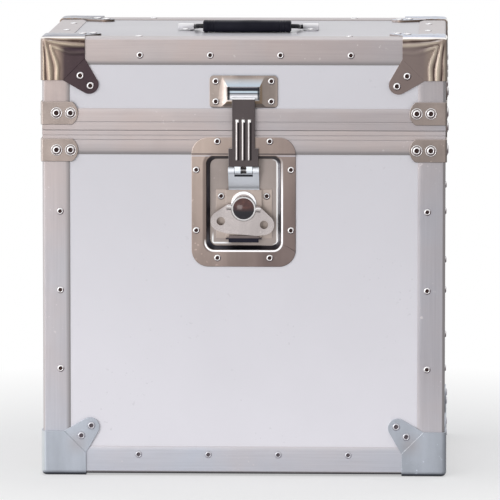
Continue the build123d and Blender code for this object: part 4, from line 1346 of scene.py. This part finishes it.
class CASE_OT_panels(bpy.types.Operator):
    """Laminated plywood panels of the base and of the lid"""

    bl_idname = "case.panels"
    bl_label = "Panels"

    def execute(self, context):
        material = laminate_finish(context.scene.case_colours.laminate)
        for node in frame["nodes"]:
            if node.endswith("_panel"):
                dress_node(node, material)
        return {"FINISHED"}


class CASE_OT_extrusions(bpy.types.Operator):
    """Double angles, lid posts and rim sections, each with its die lines along its own length"""

    bl_idname = "case.extrusions"
    bl_label = "Extrusions"

    def execute(self, context):
        colour = context.scene.case_colours.aluminium
        finishes = {axis: aluminium_finish(colour, axis) for axis in "xyz"}
        for body, members in frame["record"]["behaviour"]["bodies"].items():
            for node in members:
                if node.endswith(("_angle", "_rim")) or node == "lid_corner_posts":
                    eased(node, body, "aluminium", finishes[long_axis(node)], 0.25)
        return {"FINISHED"}


class CASE_OT_corner_caps(bpy.types.Operator):
    """Pressed caps of the eight corners: warm and streaky on the lid, pale under the base"""

    bl_idname = "case.corner_caps"
    bl_label = "Corner caps"

    def execute(self, context):
        colours = context.scene.case_colours
        # Painted shade in the fold valleys and painted highlight on their crests
        dark, light = (0.060, 0.038, 0.032), (0.450, 0.385, 0.295)
        warm = plated_finish("aged_cap_plating", colours.warm_plate, (1, 1, 0.35), 0.5, 0.30,
                             300.0, upper=colours.upper_tone, folds=(dark, light),
                             retone=cap_tone)
        pale = plated_finish("pale_cap_plating", colours.pale_plate, (1, 1, 0.15), 0.28, 0.36,
                             240.0, upper=colours.upper_tone, depth=0.6, retone=low_cap_tone)
        for corner in ("front_left", "front_right", "back_left", "back_right"):
            eased(f"base_{corner}_cap", "base", "cap_steel", pale, 0.5, 3)
        folds = folded_caps(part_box("lid_corner_caps"), context.scene.case_caps)
        eased("lid_corner_caps", "lid", "cap_steel", warm, 0.5, 3, folds)
        return {"FINISHED"}


class CASE_OT_braces(bpy.types.Operator):
    """Bowed angle plates at the rim corners"""

    bl_idname = "case.braces"
    bl_label = "Rim braces"

    def execute(self, context):
        colour = context.scene.case_colours.brace_plate
        material = plated_finish("brace_plating", colour, (1, 1, 0.7), 0.35, 0.34, 300.0)
        for side in ("base", "lid"):
            eased(f"{side}_braces", side, "cap_steel", material, 0.45, 3)
        return {"FINISHED"}


class CASE_OT_latch_dish(bpy.types.Operator):
    """Recessed dish and the bridge plate inside it"""

    bl_idname = "case.latch_dish"
    bl_label = "Latch dish"

    def execute(self, context):
        colour = context.scene.case_colours.dish_plate
        dish = plated_finish("dish_plating", colour, (1, 1, 0.08), 0.55, 0.30, 300.0,
                             retone=dish_tone)
        bridge = plated_finish("bridge_plating", shade(colour, 1.1), (0.08, 1, 1), 0.3, 0.28,
                               retone=bridge_tone)
        eased("latch_dish", "base", "plated_steel", dish, 0.55, 3)
        eased("latch_bridge", "base", "plated_steel", bridge, 0.3)
        return {"FINISHED"}


class CASE_OT_latch_drive(bpy.types.Operator):
    """Spindle, dome, thumb wing, sliding link and knuckle pin"""

    bl_idname = "case.latch_drive"
    bl_label = "Latch drive"

    def execute(self, context):
        nickel = plated_finish("bright_nickel", (0.485, 0.440, 0.432), (1, 1, 0.3), 0.22, 0.20,
                               depth=0.7)
        link = plated_finish("link_nickel", (0.74, 0.77, 0.83), (0.06, 1, 1), 0.10, 0.42,
                             depth=0.15, retone=link_tone, metal=0.35)
        collar = plated_finish("collar_steel", (0.60, 0.58, 0.58), (1, 1, 1), 0.35, 0.22)
        eased("latch_spindle", "spindle", "plated_steel", collar, 0.3, 3)
        eased("spindle_dome", "spindle", "dark_steel", dome_finish(), 0)
        eased("latch_wing", "wing", "nickel", nickel, 0.4, 3)
        eased("latch_link", "link", "nickel", link, 0.3)
        eased("knuckle_pin", "link", "rivet_steel", collar, 0.2)
        return {"FINISHED"}


class CASE_OT_hook(bpy.types.Operator):
    """Ribbed hook strap and its spring"""

    bl_idname = "case.hook"
    bl_label = "Hook and spring"

    def execute(self, context):
        colour = context.scene.case_colours.hook_steel
        # The upper tone is a painted highlight where the hook faces up
        material = plated_finish("hook_steel_finish", colour, (1, 1, 0.06), 0.4, 0.30, 300.0,
                                 upper=(0.80, 0.82, 0.86), retone=hook_tone)
        eased("hook", "hook", "hook_steel", material, 0.4, 3)
        spring_piece(plated_finish("spring_steel", shade(colour, 0.6), (1, 1, 1), 0.3, 0.35))
        return {"FINISHED"}


class CASE_OT_keeper(bpy.types.Operator):
    """Keeper plate with its raised, slotted box"""

    bl_idname = "case.keeper"
    bl_label = "Keeper"

    def execute(self, context):
        colours = context.scene.case_colours
        material = plated_finish("keeper_plating", shade(colours.dish_plate, 0.85), (1, 1, 0.12),
                                 0.5, 0.28, upper=colours.upper_tone, retone=keeper_tone)
        eased("keeper", "lid", "plated_steel", material, 0.4, 3)
        keeper_slot_shade(slot_shade_finish())
        return {"FINISHED"}


class CASE_OT_handle(bpy.types.Operator):
    """Wire bail, moulded grip and the two saddles"""

    bl_idname = "case.handle"
    bl_label = "Handle"

    def execute(self, context):
        colour = context.scene.case_colours.saddle_plate
        # The upper tone is a painted highlight where the saddles face up
        saddle = plated_finish("saddle_plating", colour, (1, 1, 1), 0.9, 0.34, 260.0,
                               upper=shade(colour, 1.3), depth=0.5)
        eased("handle_brackets", "lid", "plated_steel", saddle, 0.3)
        eased("handle_bail", "handle", "bail_steel", wire_finish(), 0)
        grip_piece(grip_finish())
        return {"FINISHED"}


class CASE_OT_hinges(bpy.types.Operator):
    """Leaves and pins of the two rear hinges"""

    bl_idname = "case.hinges"
    bl_label = "Rear hinges"

    def execute(self, context):
        colour = context.scene.case_colours.dish_plate
        leaf = plated_finish("leaf_plating", shade(colour, 1.15), (0.1, 1, 1), 0.3, 0.30)
        pin = plated_finish("pin_steel", (0.50, 0.48, 0.47), (1, 1, 1), 0.2, 0.25)
        eased("hinge_base_leaves", "base", "plated_steel", leaf, 0)
        eased("hinge_lid_leaves", "lid", "plated_steel", leaf, 0)
        eased("hinge_pins", "base", "rivet_steel", pin, 0.3)
        return {"FINISHED"}


class CASE_OT_foam(bpy.types.Operator):
    """Foam insert with the lens well, and the pad in the lid"""

    bl_idname = "case.foam"
    bl_label = "Foam"

    def execute(self, context):
        foam, material = context.scene.case_foam, foam_finish()
        foam_piece("foam_block", "base", foam, material)
        foam_piece("lid_foam_pad", "lid", foam, material)
        return {"FINISHED"}


class CASE_OT_rivets(bpy.types.Operator):
    """Pulled rivet heads of the base and of the lid"""

    bl_idname = "case.rivets"
    bl_label = "Rivets"

    def execute(self, context):
        rivets = context.scene.case_rivets
        tree = rivet_tree()
        materials = (rivet_head_finish(), rivet_hollow_finish())
        heads_piece("base", base_heads(rivets), tree, rivets, materials,
                    "latch_rivets", "hinge_rivets")
        heads_piece("lid", lid_heads(rivets), tree, rivets, materials, "lid_rivets")
        return {"FINISHED"}


operators = (
    CASE_OT_stage, CASE_OT_panels, CASE_OT_extrusions, CASE_OT_corner_caps, CASE_OT_braces,
    CASE_OT_latch_dish, CASE_OT_latch_drive, CASE_OT_hook, CASE_OT_keeper, CASE_OT_handle,
    CASE_OT_hinges, CASE_OT_foam, CASE_OT_rivets,
)
property_groups = {
    "case_colours": CaseColours,
    "case_caps": CaseCaps,
    "case_rivets": CaseRivets,
    "case_foam": CaseFoam,
    "case_stage": CaseStage,
}


class VIEW3D_PT_lens_case(bpy.types.Panel):
    """Sizes, colours and one button for each group of pieces"""

    bl_label = "Lens case"
    bl_space_type = "VIEW_3D"
    bl_region_type = "UI"
    bl_category = "Lens case"

    def draw(self, context):
        layout = self.layout
        for name, kind in property_groups.items():
            box = layout.box()
            settings = getattr(context.scene, name)
            for title in kind.__annotations__:
                box.prop(settings, title)
        for operator in operators:
            layout.operator(operator.bl_idname)


classes = (*property_groups.values(), *operators, VIEW3D_PT_lens_case)


def register():
    for kind in classes:
        bpy.utils.register_class(kind)
    for name, kind in property_groups.items():
        setattr(bpy.types.Scene, name, PointerProperty(type=kind))


def unregister():
    for name in property_groups:
        delattr(bpy.types.Scene, name)
    for kind in reversed(classes):
        bpy.utils.unregister_class(kind)


def main():
    register()
    for operator in operators:
        group, name = operator.bl_idname.split(".")
        getattr(getattr(bpy.ops, group), name)()


if __name__ == "__main__":
    main()
